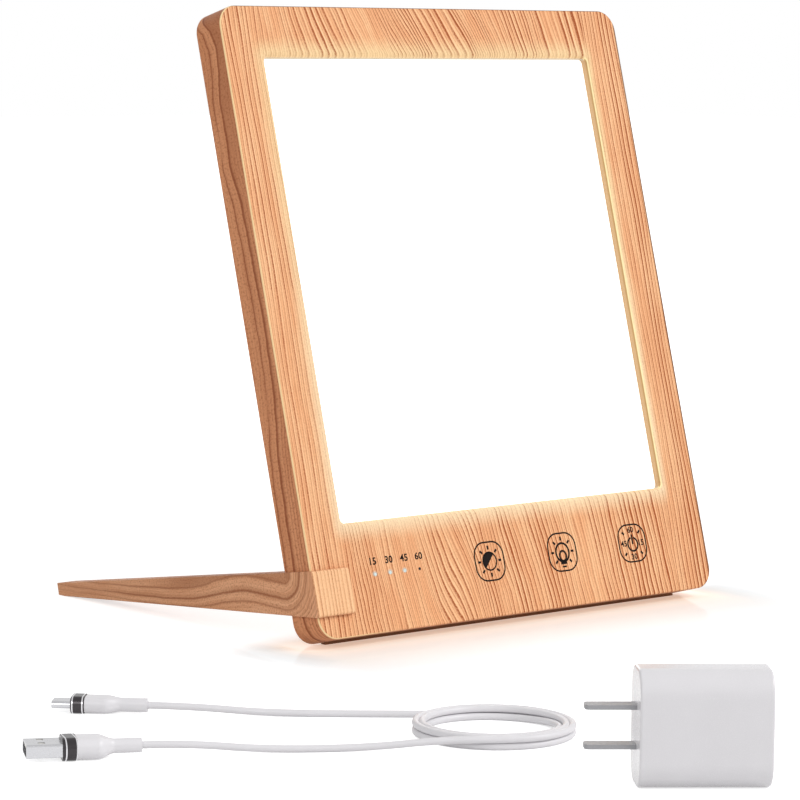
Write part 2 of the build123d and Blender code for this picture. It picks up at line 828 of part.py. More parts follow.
for name, route, grip, shell in (
    ("small", small_lead, small_grip, small_shell),
    ("large", large_lead, large_grip, large_shell),
):
    grip_width, grip_height = grip
    shell_width, shell_height, shell_length, shell_corner = shell
    inner_width = shell_width - 2 * shell_wall
    inner_height = shell_height - 2 * shell_wall
    root = plug_plane(route)
    collar_plane = root.offset(grip_length)
    shell_plane = collar_plane.offset(collar_length)
    shoulder_end = neck_length + shoulder_length

    with BuildPart() as plug_grip:
        with BuildSketch(root):
            grip_outline(0, grip_width, grip_height)
        extrude(amount=neck_length)
        for step in range(shoulder_steps + 1):
            share = step / shoulder_steps
            with BuildSketch(root.offset(neck_length + shoulder_length * share)):
                grip_outline((1 - math.cos(math.pi * share)) / 2, grip_width, grip_height)
        loft()
        with BuildSketch(root.offset(shoulder_end)):
            grip_outline(1, grip_width, grip_height)
        extrude(amount=grip_length - shoulder_end)
    plug_grip.part.label = f"{name}_plug_grip"
    export_step(plug_grip.part, f"parts/{name}_plug_grip.step")

    with BuildPart() as plug_collar:
        with BuildSketch(collar_plane):
            across = grip_width + 2 * collar_step
            up = grip_height + 2 * collar_step
            RectangleRounded(across, up, roundness * min(across, up))
        extrude(amount=collar_length)
        ends = plug_collar.faces().sort_by(Axis(root.origin, root.z_dir))
        chamfer(ends[0].edges() + ends[-1].edges(), collar_step)
    plug_collar.part.label = f"{name}_plug_collar"
    export_step(plug_collar.part, f"parts/{name}_plug_collar.step")

    with BuildPart() as plug_shell:
        with BuildSketch(shell_plane):
            RectangleRounded(shell_width, shell_height, shell_corner)
            RectangleRounded(inner_width, inner_height, shell_corner - shell_wall, mode=Mode.SUBTRACT)
        extrude(amount=shell_length)
        if name == "large":
            # Latch holes through the upper and lower walls
            latch_plane = Plane(
                origin=shell_plane.offset(shell_length - latch_hole_setback).origin,
                x_dir=shell_plane.x_dir,
                z_dir=(0, 0, 1),
            )
            with BuildSketch(latch_plane):
                with GridLocations(latch_hole_spread, 0, 2, 1):
                    Rectangle(latch_hole_side, latch_hole_side)
            extrude(amount=shell_height, both=True, mode=Mode.SUBTRACT)
    plug_shell.part.label = f"{name}_plug_shell"
    export_step(plug_shell.part, f"parts/{name}_plug_shell.step")

    with BuildPart() as plug_insert:
        with BuildSketch(shell_plane):
            if name == "small":
                RectangleRounded(inner_width, inner_height, shell_corner - shell_wall)
                Rectangle(small_slot_width, small_slot_height, mode=Mode.SUBTRACT)
            else:
                with Locations((0, (inner_height - large_insert_height) / 2)):
                    Rectangle(inner_width - 2 * shell_wall, large_insert_height)
        extrude(amount=shell_length - insert_setback)
    plug_insert.part.label = f"{name}_plug_insert"
    export_step(plug_insert.part, f"parts/{name}_plug_insert.step")

# ---------------------------------------------------------------------- adapter

# Sections across the adapter: x away from the front, y up, normal to the right
adapter_start = -adapter_length / 2
adapter_section = Plane(
    origin=(adapter_x, adapter_y, adapter_height / 2),
    x_dir=(lay_sin, lay_cos, 0),
    z_dir=(lay_cos, -lay_sin, 0),
)
adapter_axis = Axis(adapter_section.origin, adapter_section.z_dir)


def adapter_outline(inset):
    """The adapter's pill-shaped section, drawn that far inside its skin."""
    RectangleRounded(adapter_thickness - 2 * inset, adapter_height - 2 * inset, adapter_radius - inset)


cap_end = adapter_start + adapter_cap_thickness
with BuildPart() as adapter_housing:
    with BuildSketch(adapter_section.offset(cap_end)):
        adapter_outline(0)
    extrude(amount=adapter_length - adapter_cap_thickness)
    fillet(adapter_housing.faces().sort_by(adapter_axis)[-1].edges(), adapter_edge_radius)
    with BuildSketch(adapter_section.offset(cap_end)):
        adapter_outline(adapter_wall)
    extrude(amount=adapter_length - adapter_cap_thickness - adapter_wall, mode=Mode.SUBTRACT)
    with BuildSketch(adapter_section.offset(adapter_length / 2 - adapter_wall)):
        Rectangle(port_height + 2 * port_wall, port_width + 2 * port_wall)
    extrude(amount=adapter_wall, mode=Mode.SUBTRACT)
adapter_housing.part.label = "adapter_housing"
export_step(adapter_housing.part, "parts/adapter_housing.step")

with BuildPart() as adapter_cap:
    with BuildSketch(adapter_section.offset(adapter_start)):
        adapter_outline(0)
    extrude(amount=adapter_cap_thickness)
    fillet(adapter_cap.faces().sort_by(adapter_axis)[0].edges(), adapter_edge_radius)
    # Lip that plugs into the housing's open end
    with BuildSketch(adapter_section.offset(cap_end)):
        adapter_outline(adapter_wall + adapter_fit)
        Rectangle(
            adapter_thickness - 4 * adapter_wall,
            adapter_height - 4 * adapter_wall,
            mode=Mode.SUBTRACT,
        )
    extrude(amount=adapter_lip_length)
    with BuildSketch(adapter_section.offset(adapter_start)):
        with GridLocations(0, blade_spacing, 1, 2):
            Rectangle(blade_width, blade_thickness)
    extrude(amount=adapter_cap_thickness, mode=Mode.SUBTRACT)
adapter_cap.part.label = "adapter_cap"
export_step(adapter_cap.part, "parts/adapter_cap.step")

with BuildPart() as adapter_blades:
    with BuildSketch(adapter_section.offset(adapter_start - blade_length)):
        with GridLocations(0, blade_spacing, 1, 2):
            Rectangle(blade_width, blade_thickness)
    extrude(amount=blade_length + adapter_cap_thickness + adapter_lip_length + blade_root)
    tip_edges = adapter_blades.edges().filter_by(Axis.Z).group_by(adapter_axis)[0]
    fillet(tip_edges, blade_tip_radius)
adapter_blades.part.label = "adapter_blades"
export_step(adapter_blades.part, "parts/adapter_blades.step")

port_start = adapter_length / 2 - port_depth
with BuildPart() as adapter_port:
    with BuildSketch(adapter_section.offset(port_start)):
        Rectangle(port_height + 2 * port_wall, port_width + 2 * port_wall)
        Rectangle(port_height, port_width, mode=Mode.SUBTRACT)
    extrude(amount=port_depth)
adapter_port.part.label = "adapter_port"
export_step(adapter_port.part, "parts/adapter_port.step")

with BuildPart() as adapter_port_tongue:
    with BuildSketch(adapter_section.offset(port_start)):
        with Locations((-(port_height - port_tongue_thickness) / 2 + port_wall, 0)):
            Rectangle(port_tongue_thickness, port_tongue_width)
    extrude(amount=port_depth - port_tongue_setback)
adapter_port_tongue.part.label = "adapter_port_tongue"
export_step(adapter_port_tongue.part, "parts/adapter_port_tongue.step")

# The board runs from the blades' roots to the far wall, under the port
board_start = cap_end + adapter_lip_length + blade_root
with BuildPart() as adapter_board:
    with BuildSketch(adapter_section.offset(board_start)):
        with Locations((port_height / 2 + port_wall + adapter_board_thickness / 2, 0)):
            Rectangle(adapter_board_thickness, adapter_height - 2 * adapter_radius)
    extrude(amount=adapter_length / 2 - adapter_wall - adapter_board_margin - board_start)
adapter_board.part.label = "adapter_board"
export_step(adapter_board.part, "parts/adapter_board.step")

with BuildPart() as adapter_transformer:
    with BuildSketch(adapter_section.offset(board_start)):
        with Locations((port_height / 2 + port_wall - transformer_height / 2, 0)):
            Rectangle(transformer_height, transformer_width)
    extrude(amount=transformer_length)
adapter_transformer.part.label = "adapter_transformer"
export_step(adapter_transformer.part, "parts/adapter_transformer.step")
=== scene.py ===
import json
import math

import bmesh
import bpy
from mathutils import Matrix, Vector


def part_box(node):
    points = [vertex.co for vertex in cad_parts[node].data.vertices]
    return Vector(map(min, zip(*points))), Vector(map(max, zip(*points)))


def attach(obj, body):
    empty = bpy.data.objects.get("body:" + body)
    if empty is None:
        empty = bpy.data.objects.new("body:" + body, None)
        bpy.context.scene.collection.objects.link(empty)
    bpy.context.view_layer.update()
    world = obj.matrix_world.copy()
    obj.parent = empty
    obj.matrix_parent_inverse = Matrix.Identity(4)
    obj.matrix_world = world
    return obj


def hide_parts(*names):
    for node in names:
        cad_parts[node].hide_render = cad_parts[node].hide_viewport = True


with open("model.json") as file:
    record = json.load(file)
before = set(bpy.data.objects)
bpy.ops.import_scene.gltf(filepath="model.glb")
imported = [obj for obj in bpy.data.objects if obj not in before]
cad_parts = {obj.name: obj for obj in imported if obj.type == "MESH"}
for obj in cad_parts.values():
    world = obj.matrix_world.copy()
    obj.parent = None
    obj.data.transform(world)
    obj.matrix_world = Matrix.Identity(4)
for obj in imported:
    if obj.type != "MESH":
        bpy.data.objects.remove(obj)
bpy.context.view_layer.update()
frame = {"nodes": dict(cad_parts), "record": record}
nodes = frame["nodes"]
print("frame loaded:", len(nodes), "nodes")

# Metres, apart from the patterns in materials and the names that end in Mm, which are in millimetres
panel = {
    "lean": math.radians(15.5),
    "origin": Vector((0.0, -0.013301, 0.004426)),  # middle of the front face's lower edge
    "width": 0.2155,
    "heightMm": 250.0,
    "depthMm": 16.0,
    "windowHalfWidthMm": 87.95,
    "windowHalfHeightMm": 92.65,
    "windowCentreMm": 136.75,
}
panelRight = Vector((1, 0, 0))
panelUp = Vector((0, math.sin(panel["lean"]), math.cos(panel["lean"])))
panelOut = Vector((0, -math.cos(panel["lean"]), math.sin(panel["lean"])))


def faceMatrix(right, up, out):
    # stands a flat drawing up against the front face, at a place from the middle of the lower edge
    place = panel["origin"] + panelRight * right + panelUp * up + panelOut * out
    turn = Matrix((panelRight, panelUp, panelOut)).transposed().to_4x4()
    return Matrix.Translation(place) @ turn


def tint(red, green, blue):
    # a colour in screen values of 0 to 255, as a linear colour
    linear = []
    for value in (red, green, blue):
        share = value / 255
        linear.append(((share + 0.055) / 1.055) ** 2.4 if value > 10 else share / 12.92)
    return (*linear, 1.0)


def addObject(name, data):
    made = bpy.data.objects.new(name, data)
    bpy.context.scene.collection.objects.link(made)
    return made


def addMesh(name, made, material):
    # an object from a bmesh, which is freed
    mesh = bpy.data.meshes.new(name)
    made.to_mesh(mesh)
    made.free()
    mesh.materials.append(material)
    return addObject(name, mesh)


def isSocket(value):
    return isinstance(value, bpy.types.NodeSocket)


def addNode(kind, inputs=None, tree=None, **settings):
    # goes into the tree that its inputs are in, and needs the tree only where they are all constants
    inputs = inputs or {}
    tree = tree or next(value.id_data for value in inputs.values() if isSocket(value))
    made = tree.nodes.new(kind)
    for name, value in settings.items():
        setattr(made, name, value)
    for name, value in inputs.items():
        if isSocket(value):
            tree.links.new(value, made.inputs[name])
        else:
            made.inputs[name].default_value = value
    return made


def coordinates(tree, kind="Object"):
    return addNode("ShaderNodeTexCoord", tree=tree).outputs[kind]


def feed(value, shader, name="Base Color"):
    value.id_data.links.new(value, shader.inputs[name])


def maths(operation, *values):
    return addNode("ShaderNodeMath", dict(enumerate(values)), operation=operation).outputs[0]


def times(first, *others):
    for other in others:
        first = maths("MULTIPLY", first, other)
    return first


def largest(first, *others):
    for other in others:
        first = maths("MAXIMUM", first, other)
    return first


def gapTo(value, place):
    # how far a value is from a place, either way
    return maths("ABSOLUTE", maths("SUBTRACT", value, place))


def distance(x, y):
    return maths("SQRT", maths("MULTIPLY_ADD", x, x, times(y, y)))


def mixColours(share, first, second):
    return addNode("ShaderNodeMix", {0: share, 6: first, 7: second}, data_type="RGBA").outputs[2]


def mixValues(share, first, second):
    return addNode("ShaderNodeMix", {0: share, 2: first, 3: second}, data_type="FLOAT").outputs[0]


def ramp(value, stops, interpolation="LINEAR"):
    # stops are (place, grey) or (place, colour)
    made = addNode("ShaderNodeValToRGB", {0: value})
    made.color_ramp.interpolation = interpolation
    points = made.color_ramp.elements
    while len(points) < len(stops):
        points.new(0.5)
    for point, (place, shade) in zip(points, stops):
        point.position = place
        point.color = shade if isinstance(shade, tuple) else (shade, shade, shade, 1)
    return made.outputs[0]


def span(value, low, high, start=0.0, end=1.0, smooth=True):
    # goes from start to end as the value goes from low to high
    kind = "SMOOTHSTEP" if smooth else "LINEAR"
    inputs = {0: value, 1: low, 2: high, 3: start, 4: end}
    return addNode("ShaderNodeMapRange", inputs, interpolation_type=kind).outputs[0]


def band(value, spans):
    # where a value is within all of its spans
    return times(*(span(value, *s) for s in spans))


def layered(colour, *layers):
    # a layer is its share and its colour, and lies over those before it
    for share, over in layers:
        colour = mixColours(share, colour, over)
    return colour


def noise(vector, scale, detail=2.0, roughness=0.5):
    inputs = {"Vector": vector, "Scale": scale, "Detail": detail, "Roughness": roughness}
    return addNode("ShaderNodeTexNoise", inputs).outputs[0]


def combine(x, y, z=0.0):
    return addNode("ShaderNodeCombineXYZ", {0: x, 1: y, 2: z}).outputs[0]


def streaks(across, along, width, length, seed=0.0, detail=2.0, roughness=0.5):
    # a noise whose patches are that wide across the grain and that long along it
    wide = maths("DIVIDE", across, width)
    tall = maths("DIVIDE", along, length)
    return noise(combine(wide, tall, seed), 1.0, detail, roughness)


def swayed(value, across, along, sway, *size, detail=2.0):
    # a value that streaks of that size move to and fro, by the sway in all
    wave = streaks(across, along, *size, detail=detail)
    return maths("MULTIPLY_ADD", wave, sway, maths("SUBTRACT", value, sway / 2))


def objectPlace(tree, stretch=(1, 1, 1)):
    # Object coordinates in millimetres
    inputs = {0: coordinates(tree), 3: tuple(1000 * s for s in stretch)}
    return addNode("ShaderNodeMapping", inputs).outputs[0]


def panelPlace(tree):
    # (right, depth, up) in millimetres, from the middle of the front face's lower edge
    turn = Matrix.Rotation(panel["lean"], 3, "X")
    shift = turn @ panel["origin"] * -1000
    inputs = {0: coordinates(tree), 1: shift, 2: (panel["lean"], 0, 0), 3: (1000, 1000, 1000)}
    return addNode("ShaderNodeMapping", inputs).outputs[0]


def splitPlace(place):
    parts = addNode("ShaderNodeSeparateXYZ", {0: place})
    return parts.outputs[0], parts.outputs[1], parts.outputs[2]


def newMaterial(name, roughness=0.5, **sockets):
    material = bpy.data.materials.new(name)
    material.use_nodes = True
    tree = material.node_tree
    shader = tree.nodes["Principled BSDF"]
    shader.inputs["Roughness"].default_value = roughness
    for socket, value in sockets.items():
        shader.inputs[socket].default_value = value
    return material, tree, shader


def addBump(shader, height, strength, depth):
    inputs = {"Strength": strength, "Distance": depth, "Height": height}
    feed(addNode("ShaderNodeBump", inputs).outputs[0], shader, "Normal")


# What the prints share. A size is across the grain, along it and, where there is a third, the seed.
# A span is from and to and, where there are more, the values at its start and end. A wave, wander,
# ripple or jitter is how far it sways the lines, and its size. Fine lines are their pitch, how they
# crowd and their seed.
wood = {
    "roughness": 0.48,
    "gloss": 0.12,
    "engraving": 0.3,  # the growth lines are slightly sunk
    "engravingDepth": 0.0003,
    "fibreSize": (0.5, 5.0),
    "fibreSpan": (0.3, 0.7),
    "fibreShare": 0.17,
    "fleckSeed": 3.0,
    "fleckSpan": (0.46, 0.68),
    "highlightRimShare": 0.6,
    # one growth line, from one whole turn to the next, and the painted highlight rim beside it
    "darkStops": [(0, 0), (0.16, 0.08), (0.36, 0.55), (0.48, 1.0), (0.6, 0.9), (0.68, 0)],
    "highlightRimStops": [(0.66, 0), (0.78, 1.0), (0.98, 0)],
    "eachScale": 3.7,  # each line has a strength of its own
    "eachSpan": (0.3, 0.6, 0.5, 1.0),
    "fadeSize": (3.0, 24.0),  # weakens along its way
    "fadeSpan": (0.28, 0.55, 0.6, 1.0),
    "breakSize": (0.45, 0.7),  # and is rough at its edges
    "breakSpan": (0.35, 0.6, 0.6, 1.1),
    "crowdingSize": 11.0,
}


def growthLines(turns, across, along, seed):
    # a dark line of uneven strength in each whole turn, and the painted highlight rims beside them
    place = maths("FRACT", turns)
    dark = ramp(place, wood["darkStops"])
    highlightRim = ramp(place, wood["highlightRimStops"])
    each = noise(combine(maths("FLOOR", turns), seed), wood["eachScale"], 0.0)
    faded = streaks(across, along, *wood["fadeSize"], seed)
    rough = streaks(across, along, *wood["breakSize"], seed, roughness=0.6)
    strength = times(span(each, *wood["eachSpan"]), span(faded, *wood["fadeSpan"]))
    broken = times(strength, span(rough, *wood["breakSpan"]))
    return times(dark, broken), times(highlightRim, strength)


def evenLines(across, along, pitch, crowding, seed):
    # growth lines about that far apart
    slow = noise(combine(maths("DIVIDE", across, wood["crowdingSize"]), seed), 1.0)
    turns = maths("MULTIPLY_ADD", slow, crowding, maths("DIVIDE", across, pitch))
    return growthLines(turns, across, along, seed)


def cloudedGround(across, along, look, detail=2.0):
    cloud = streaks(across, along, *look["cloudSize"], detail=detail)
    return mixColours(span(cloud, *look["cloudSpan"]), look["light"], look["warm"])


def woodColour(lines, highlightRims, across, along, ground, look):
    # fibre, flecks, painted highlight rims and growth lines over the ground
    fibre = streaks(across, along, *wood["fibreSize"], detail=3.0, roughness=0.7)
    fibre = span(fibre, *wood["fibreSpan"], smooth=False)
    flecks = streaks(across, along, *look["fleckSize"], wood["fleckSeed"], roughness=0.6)
    flecks = span(flecks, *wood["fleckSpan"])
    return layered(
        ground,
        (times(fibre, wood["fibreShare"]), look["line"]),
        (times(flecks, look["fleckShare"]), look["line"]),
        (times(highlightRims, wood["highlightRimShare"]), look["highlightRim"]),
        (lines, look["line"]),
    )


def finishWood(shader, colour, lines):
    feed(colour, shader)
    shader.inputs["Specular IOR Level"].default_value = wood["gloss"]
    raised = maths("SUBTRACT", 1.0, lines)
    addBump(shader, raised, wood["engraving"], wood["engravingDepth"])


face = {
    "light": tint(255, 200, 150),
    "warm": tint(246, 182, 132),
    "line": tint(152, 72, 28),
    "highlightRim": tint(255, 211, 166),
    "cloudSize": (6.0, 40.0, 9.0),
    "cloudSpan": (0.35, 0.65),
    "fleckShare": 0.2,
    "fleckSize": (0.45, 0.9),
    "glow": tint(255, 231, 190),  # painted glow round the window, at its lower end
    "highGlow": tint(252, 222, 170),  # and at its upper end
    "glowChange": 70.0,  # half the height over which one turns into the other
    "glowReach": (9.5, 0.5),
    "glowShare": 0.95,
    "glowFading": (-1.3, -0.8),  # of the lines in it, low and high
    "darkness": 1.95,
    "darkest": 0.95,
    "width": 216.0,
    "mostLines": 120.0,  # more than any rail has, to hold their count in a ramp
    "lowRail": 22.0,  # the height at which each rail's stretches are measured
    "highRail": 240.0,
    "wave": (5.0, 26.0, 60.0),
    "ripple": (0.9, 4.0, 12.0, 4.0),
    "stileSize": (14.0, 90.0, 1.0),
    "stileSway": 5.0,
    "stilePitch": 2.1,
    "stileDarkness": 0.72,
    "stileEnds": (115.0, 90.0),  # up from the window's middle
    "edgeSpan": (96.0, 104.0, 1.0, 1.5),  # lines are darker near the right edge
    "seed": 2.0,
    "betweenSeed": 7.0,  # faint lines between the others
    "betweenCount": (2.0, 0.4),
    "betweenShare": 0.3,
    "betweenHighlightRims": 0.4,
}
# The rails' stretches from left to right: where each ends, the pitch of its growth lines, how dark
# they are and how far they lean
lowerPrint = [
    (20, 2.35, 0.6, 0.03),
    (38, 1.9, 0.5, 0.06),
    (44, 2.6, 0.4, 0.08),
    (60, 1.8, 0.36, 0.13),
    (66, 2.4, 0.65, 0.22),
    (81, 3.3, 0.5, 0.36),
    (100, 1.75, 0.65, 0.14),
    (125, 2.3, 0.9, 0.15),
    (141, 2.4, 0.6, 0.13),
    (150, 3.0, 0.25, 0.1),
    (162, 2.3, 0.75, 0.1),
    (191, 2.6, 1.0, 0.1),
    (216, 2.35, 0.8, 0.02),
]
upperPrint = [
    (19, 2.35, 0.75, 0.03),
    (33, 2.4, 0.25, 0.12),
    (73, 3.1, 0.85, 0.36),
    (80, 2.5, 0.25, 0.45),
    (97, 1.8, 0.65, 0.5),
    (104, 1.8, 1.0, 0.55),
    (127, 4.1, 0.95, 0.52),
    (143, 1.45, 0.8, 0.4),
    (150, 2.8, 0.45, 0.3),
    (162, 2.2, 1.0, 0.28),
    (171, 1.6, 0.75, 0.22),
    (188, 4.2, 0.45, 0.15),
    (195, 4.0, 0.95, 0.08),
    (216, 2.35, 0.8, 0.02),
]


def railLines(right, up, middle, stretches):
    # one rail's print: the place across the grain, the count of lines up to it and their darkness
    width, mostLines = face["width"], face["mostLines"]
    counts, darks, leans = [(0, 0)], [], []
    start = count = 0
    for end, pitch, dark, lean in stretches:
        count += (end - start) / pitch
        counts.append((end / width, count / mostLines))
        halfway = (start + end) / 2 / width
        darks.append((halfway, dark))
        leans.append((halfway, lean))
        start = end
    lean = ramp(maths("MULTIPLY_ADD", right, 1 / width, 0.5), leans)
    across = maths("MULTIPLY_ADD", maths("SUBTRACT", up, middle), lean, right)
    across = swayed(across, right, up, *face["wave"], middle)
    across = swayed(across, right, up, *face["ripple"], detail=1.0)
    share = maths("MULTIPLY_ADD", across, 1 / width, 0.5)
    return across, times(ramp(share, counts), mostLines), ramp(share, darks)


def frontGrain(right, up, glow):
    middle = panel["windowCentreMm"]
    lowAcross, lowCount, lowDark = railLines(right, up, face["lowRail"], lowerPrint)
    highAcross, highCount, highDark = railLines(right, up, face["highRail"], upperPrint)
    high = maths("GREATER_THAN", up, middle)
    across = mixValues(high, lowAcross, highAcross)
    count = mixValues(high, lowCount, highCount)
    strength = mixValues(high, lowDark, highDark)
    # the stiles' lines run their whole height
    wander = streaks(right, up, *face["stileSize"])
    stileAcross = maths("MULTIPLY_ADD", wander, face["stileSway"], right)
    stileCount = maths("DIVIDE", stileAcross, face["stilePitch"])
    onStile = maths("GREATER_THAN", maths("ABSOLUTE", right), panel["windowHalfWidthMm"])
    across = mixValues(onStile, across, stileAcross)
    count = mixValues(onStile, count, stileCount)
    beside = times(onStile, span(gapTo(up, middle), *face["stileEnds"]))
    lines, highlightRims = growthLines(count, across, up, face["seed"])
    lines = times(lines, strength, mixValues(beside, 1.0, face["stileDarkness"]))
    lines = times(lines, span(right, *face["edgeSpan"]))
    betweenCount = maths("MULTIPLY_ADD", count, *face["betweenCount"])
    between, betweenHighlightRims = growthLines(betweenCount, across, up, face["betweenSeed"])
    lines = largest(lines, times(between, face["betweenShare"]))
    highlightRims = largest(times(highlightRims, strength), times(betweenHighlightRims, face["betweenHighlightRims"]))
    # in the painted glow the lines fade
    upward = span(up, middle - face["glowChange"], middle + face["glowChange"])
    fading = mixValues(upward, *face["glowFading"])
    lines = times(lines, maths("MULTIPLY_ADD", glow, fading, face["darkness"]))
    lines = maths("MINIMUM", lines, face["darkest"])
    # the painted glow's colour, from its lower to its upper end
    glowColour = mixColours(upward, face["glow"], face["highGlow"])
    ground = mixColours(glow, cloudedGround(across, up, face), glowColour)
    return woodColour(lines, highlightRims, across, up, ground, face), lines


sides = {
    "light": tint(222, 154, 110),
    "warm": tint(206, 138, 96),
    "line": tint(130, 62, 26),
    "highlightRim": tint(226, 158, 112),
    "cloudSize": (5.0, 50.0, 3.0),
    "cloudSpan": (0.3, 0.7),
    "fleckShare": 0.42,
    "fleckSize": (1.3, 0.9),
    # the main streak's depth behind the face, in shares of the panel's, up the sides
    "streak": [
        (0, 0.55), (0.12, 0.625), (0.25, 0.58), (0.31, 0.48), (0.375, 0.33), (0.44, 0.245),
        (0.56, 0.25), (0.625, 0.31), (0.69, 0.355), (0.72, 0.455), (0.75, 0.53), (0.8, 0.5),
        (0.856, 0.51), (0.89, 0.39), (0.935, 0.33), (0.965, 0.45), (0.98, 0.7), (1, 0.95),
    ],
    "mainSpans": ((0.7, -0.2), (-2.0, -0.4)),
    "mainShare": 0.8,
    "onSide": (96.0, 106.0),
    "driftScale": (0.02, 0.05, 0.012),  # along the top and the bottom the streak drifts
    "driftDepth": 14.0,
    "wander": (2.0, 9.0, 14.0, 5.0),
    "jitter": (0.7, 1.2, 1.6, 6.0),
    "frontSpan": (0.2, -0.6),  # high up, all before the streak is darker
    "frontRise": (150.0, 235.0, 0.0, 0.42),
    "secondGap": 4.6,  # a second streak behind the main one
    "secondSpans": ((0.6, -0.1), (-1.2, -0.1)),
    "secondFadeSize": (4.0, 40.0, 8.0),
    "secondFade": (0.3, 0.5, 0.0, 0.7),
    "fine": (1.75, 0.8, 5.0),
    "fineSpan": (0.0, -3.0, 0.12, 0.5),
}


def sideGrain(place, right, depth, up):
    # one wandering dark streak up the panel's side, with fainter ones beside it
    inputs = {0: place, 1: sides["driftScale"]}
    slowPlace = addNode("ShaderNodeVectorMath", inputs, operation="MULTIPLY").outputs[0]
    drift = times(noise(slowPlace, 1.0), sides["driftDepth"])
    height = maths("DIVIDE", up, panel["heightMm"])
    streak = times(ramp(height, sides["streak"]), panel["depthMm"])
    onSide = span(maths("ABSOLUTE", right), *sides["onSide"])
    across = maths("SUBTRACT", depth, mixValues(onSide, drift, streak))
    along = maths("ADD", right, up)
    across = swayed(across, depth, along, *sides["wander"])
    across = swayed(across, depth, along, *sides["jitter"])
    main = band(across, sides["mainSpans"])
    before = times(span(across, *sides["frontSpan"]), span(up, *sides["frontRise"]))
    behind = maths("SUBTRACT", across, sides["secondGap"])
    faded = streaks(across, along, *sides["secondFadeSize"])
    second = times(band(behind, sides["secondSpans"]), span(faded, *sides["secondFade"]))
    fine, highlightRims = evenLines(across, along, *sides["fine"])
    fine = times(fine, span(across, *sides["fineSpan"]))
    lines = largest(times(main, sides["mainShare"]), second, before, fine)
    ground = cloudedGround(across, along, sides)
    return woodColour(lines, highlightRims, across, along, ground, sides), lines


# The timer lights' places on the face, and the painted glow on the wood round each that is lit, in
# millimetres
timer = {
    "lit": (-76.1, -68.25, -60.75),
    "litEnd": (-56.0, -58.0),
    "haloHeight": 23.0,
    "haloStretch": 1.2,
    "haloSpan": (1.35, 0.5),
    "haloShare": 0.62,
    "haloDepth": (0.5, 0.1),
    "paintedHaloColour": tint(190, 208, 204),
    "coolLight": (tint(190, 212, 212), tint(218, 230, 228)),
    "cloudScale": 1.4,
    "dark": tint(44, 18, 12),
    "roughness": 0.2,
    "strength": 0.05,
}
# The spans tell the housing's parts from each other, by the gap to the window, the depth behind the
# face, or the place to the right or up it
housing = {
    "glowSideways": (-1.0, 1.0, 1.1, 2.2),  # the painted glow is narrower at the right
    "lip": tint(255, 240, 184),  # painted highlight on the rolled edge of the window, at the right
    "lowLip": tint(222, 186, 136),  # and elsewhere
    "lipGap": (3.2, 2.2),
    "lipDepth": (0.25, 0.8),
    "lipRight": (86.5, 87.5),
    "lipShare": (0.35, 0.85),
    "windowWall": tint(190, 156, 116),  # the wall behind it, at the sides
    "windowTop": tint(186, 170, 144),  # and at the top and the bottom
    "wallDepth": (1.5, 1.9),
    "wallSides": (87.0, 87.8),
    "windowLine": tint(184, 146, 98),  # thin shaded line between the two
    "lineDepths": ((0.8, 1.1), (1.9, 1.6)),
    "outsideGap": (6.0, 8.0),
    "sideDepth": (0.55, 0.8),
    "edgeDepths": ((0.01, 0.12), (0.8, 0.55)),
    "edge": tint(253, 220, 166),  # painted highlight on the rolled outer edge, at the left
    "edgeLeft": (-60.0, -90.0),
    "farEdgeShade": tint(104, 66, 42),  # painted shade on it at the right and the top
    "farRight": (100.0, 104.0),
    "farTop": (244.0, 247.0),
    "notFar": (-104.0, -98.0),
    "brinkRight": (106.3, 107.0),  # the face's last bit before it, which gets painted shade too
    "brinkShare": 0.85,
}


def windowGap(right, up, sideways=1.0):
    # how far outside the window a point of the face is; sideways stretches it to the sides
    outX = maths("SUBTRACT", maths("ABSOLUTE", right), panel["windowHalfWidthMm"])
    outY = maths("SUBTRACT", gapTo(up, panel["windowCentreMm"]), panel["windowHalfHeightMm"])
    outX = times(largest(outX, 0.0), sideways)
    return distance(outX, largest(outY, 0.0))


def timerHalo(right, up):
    total = 0.0
    for place in timer["lit"]:
        outX = maths("DIVIDE", gapTo(right, place), timer["haloStretch"])
        out = distance(outX, gapTo(up, timer["haloHeight"]))
        total = maths("ADD", total, span(out, *timer["haloSpan"]))
    return total


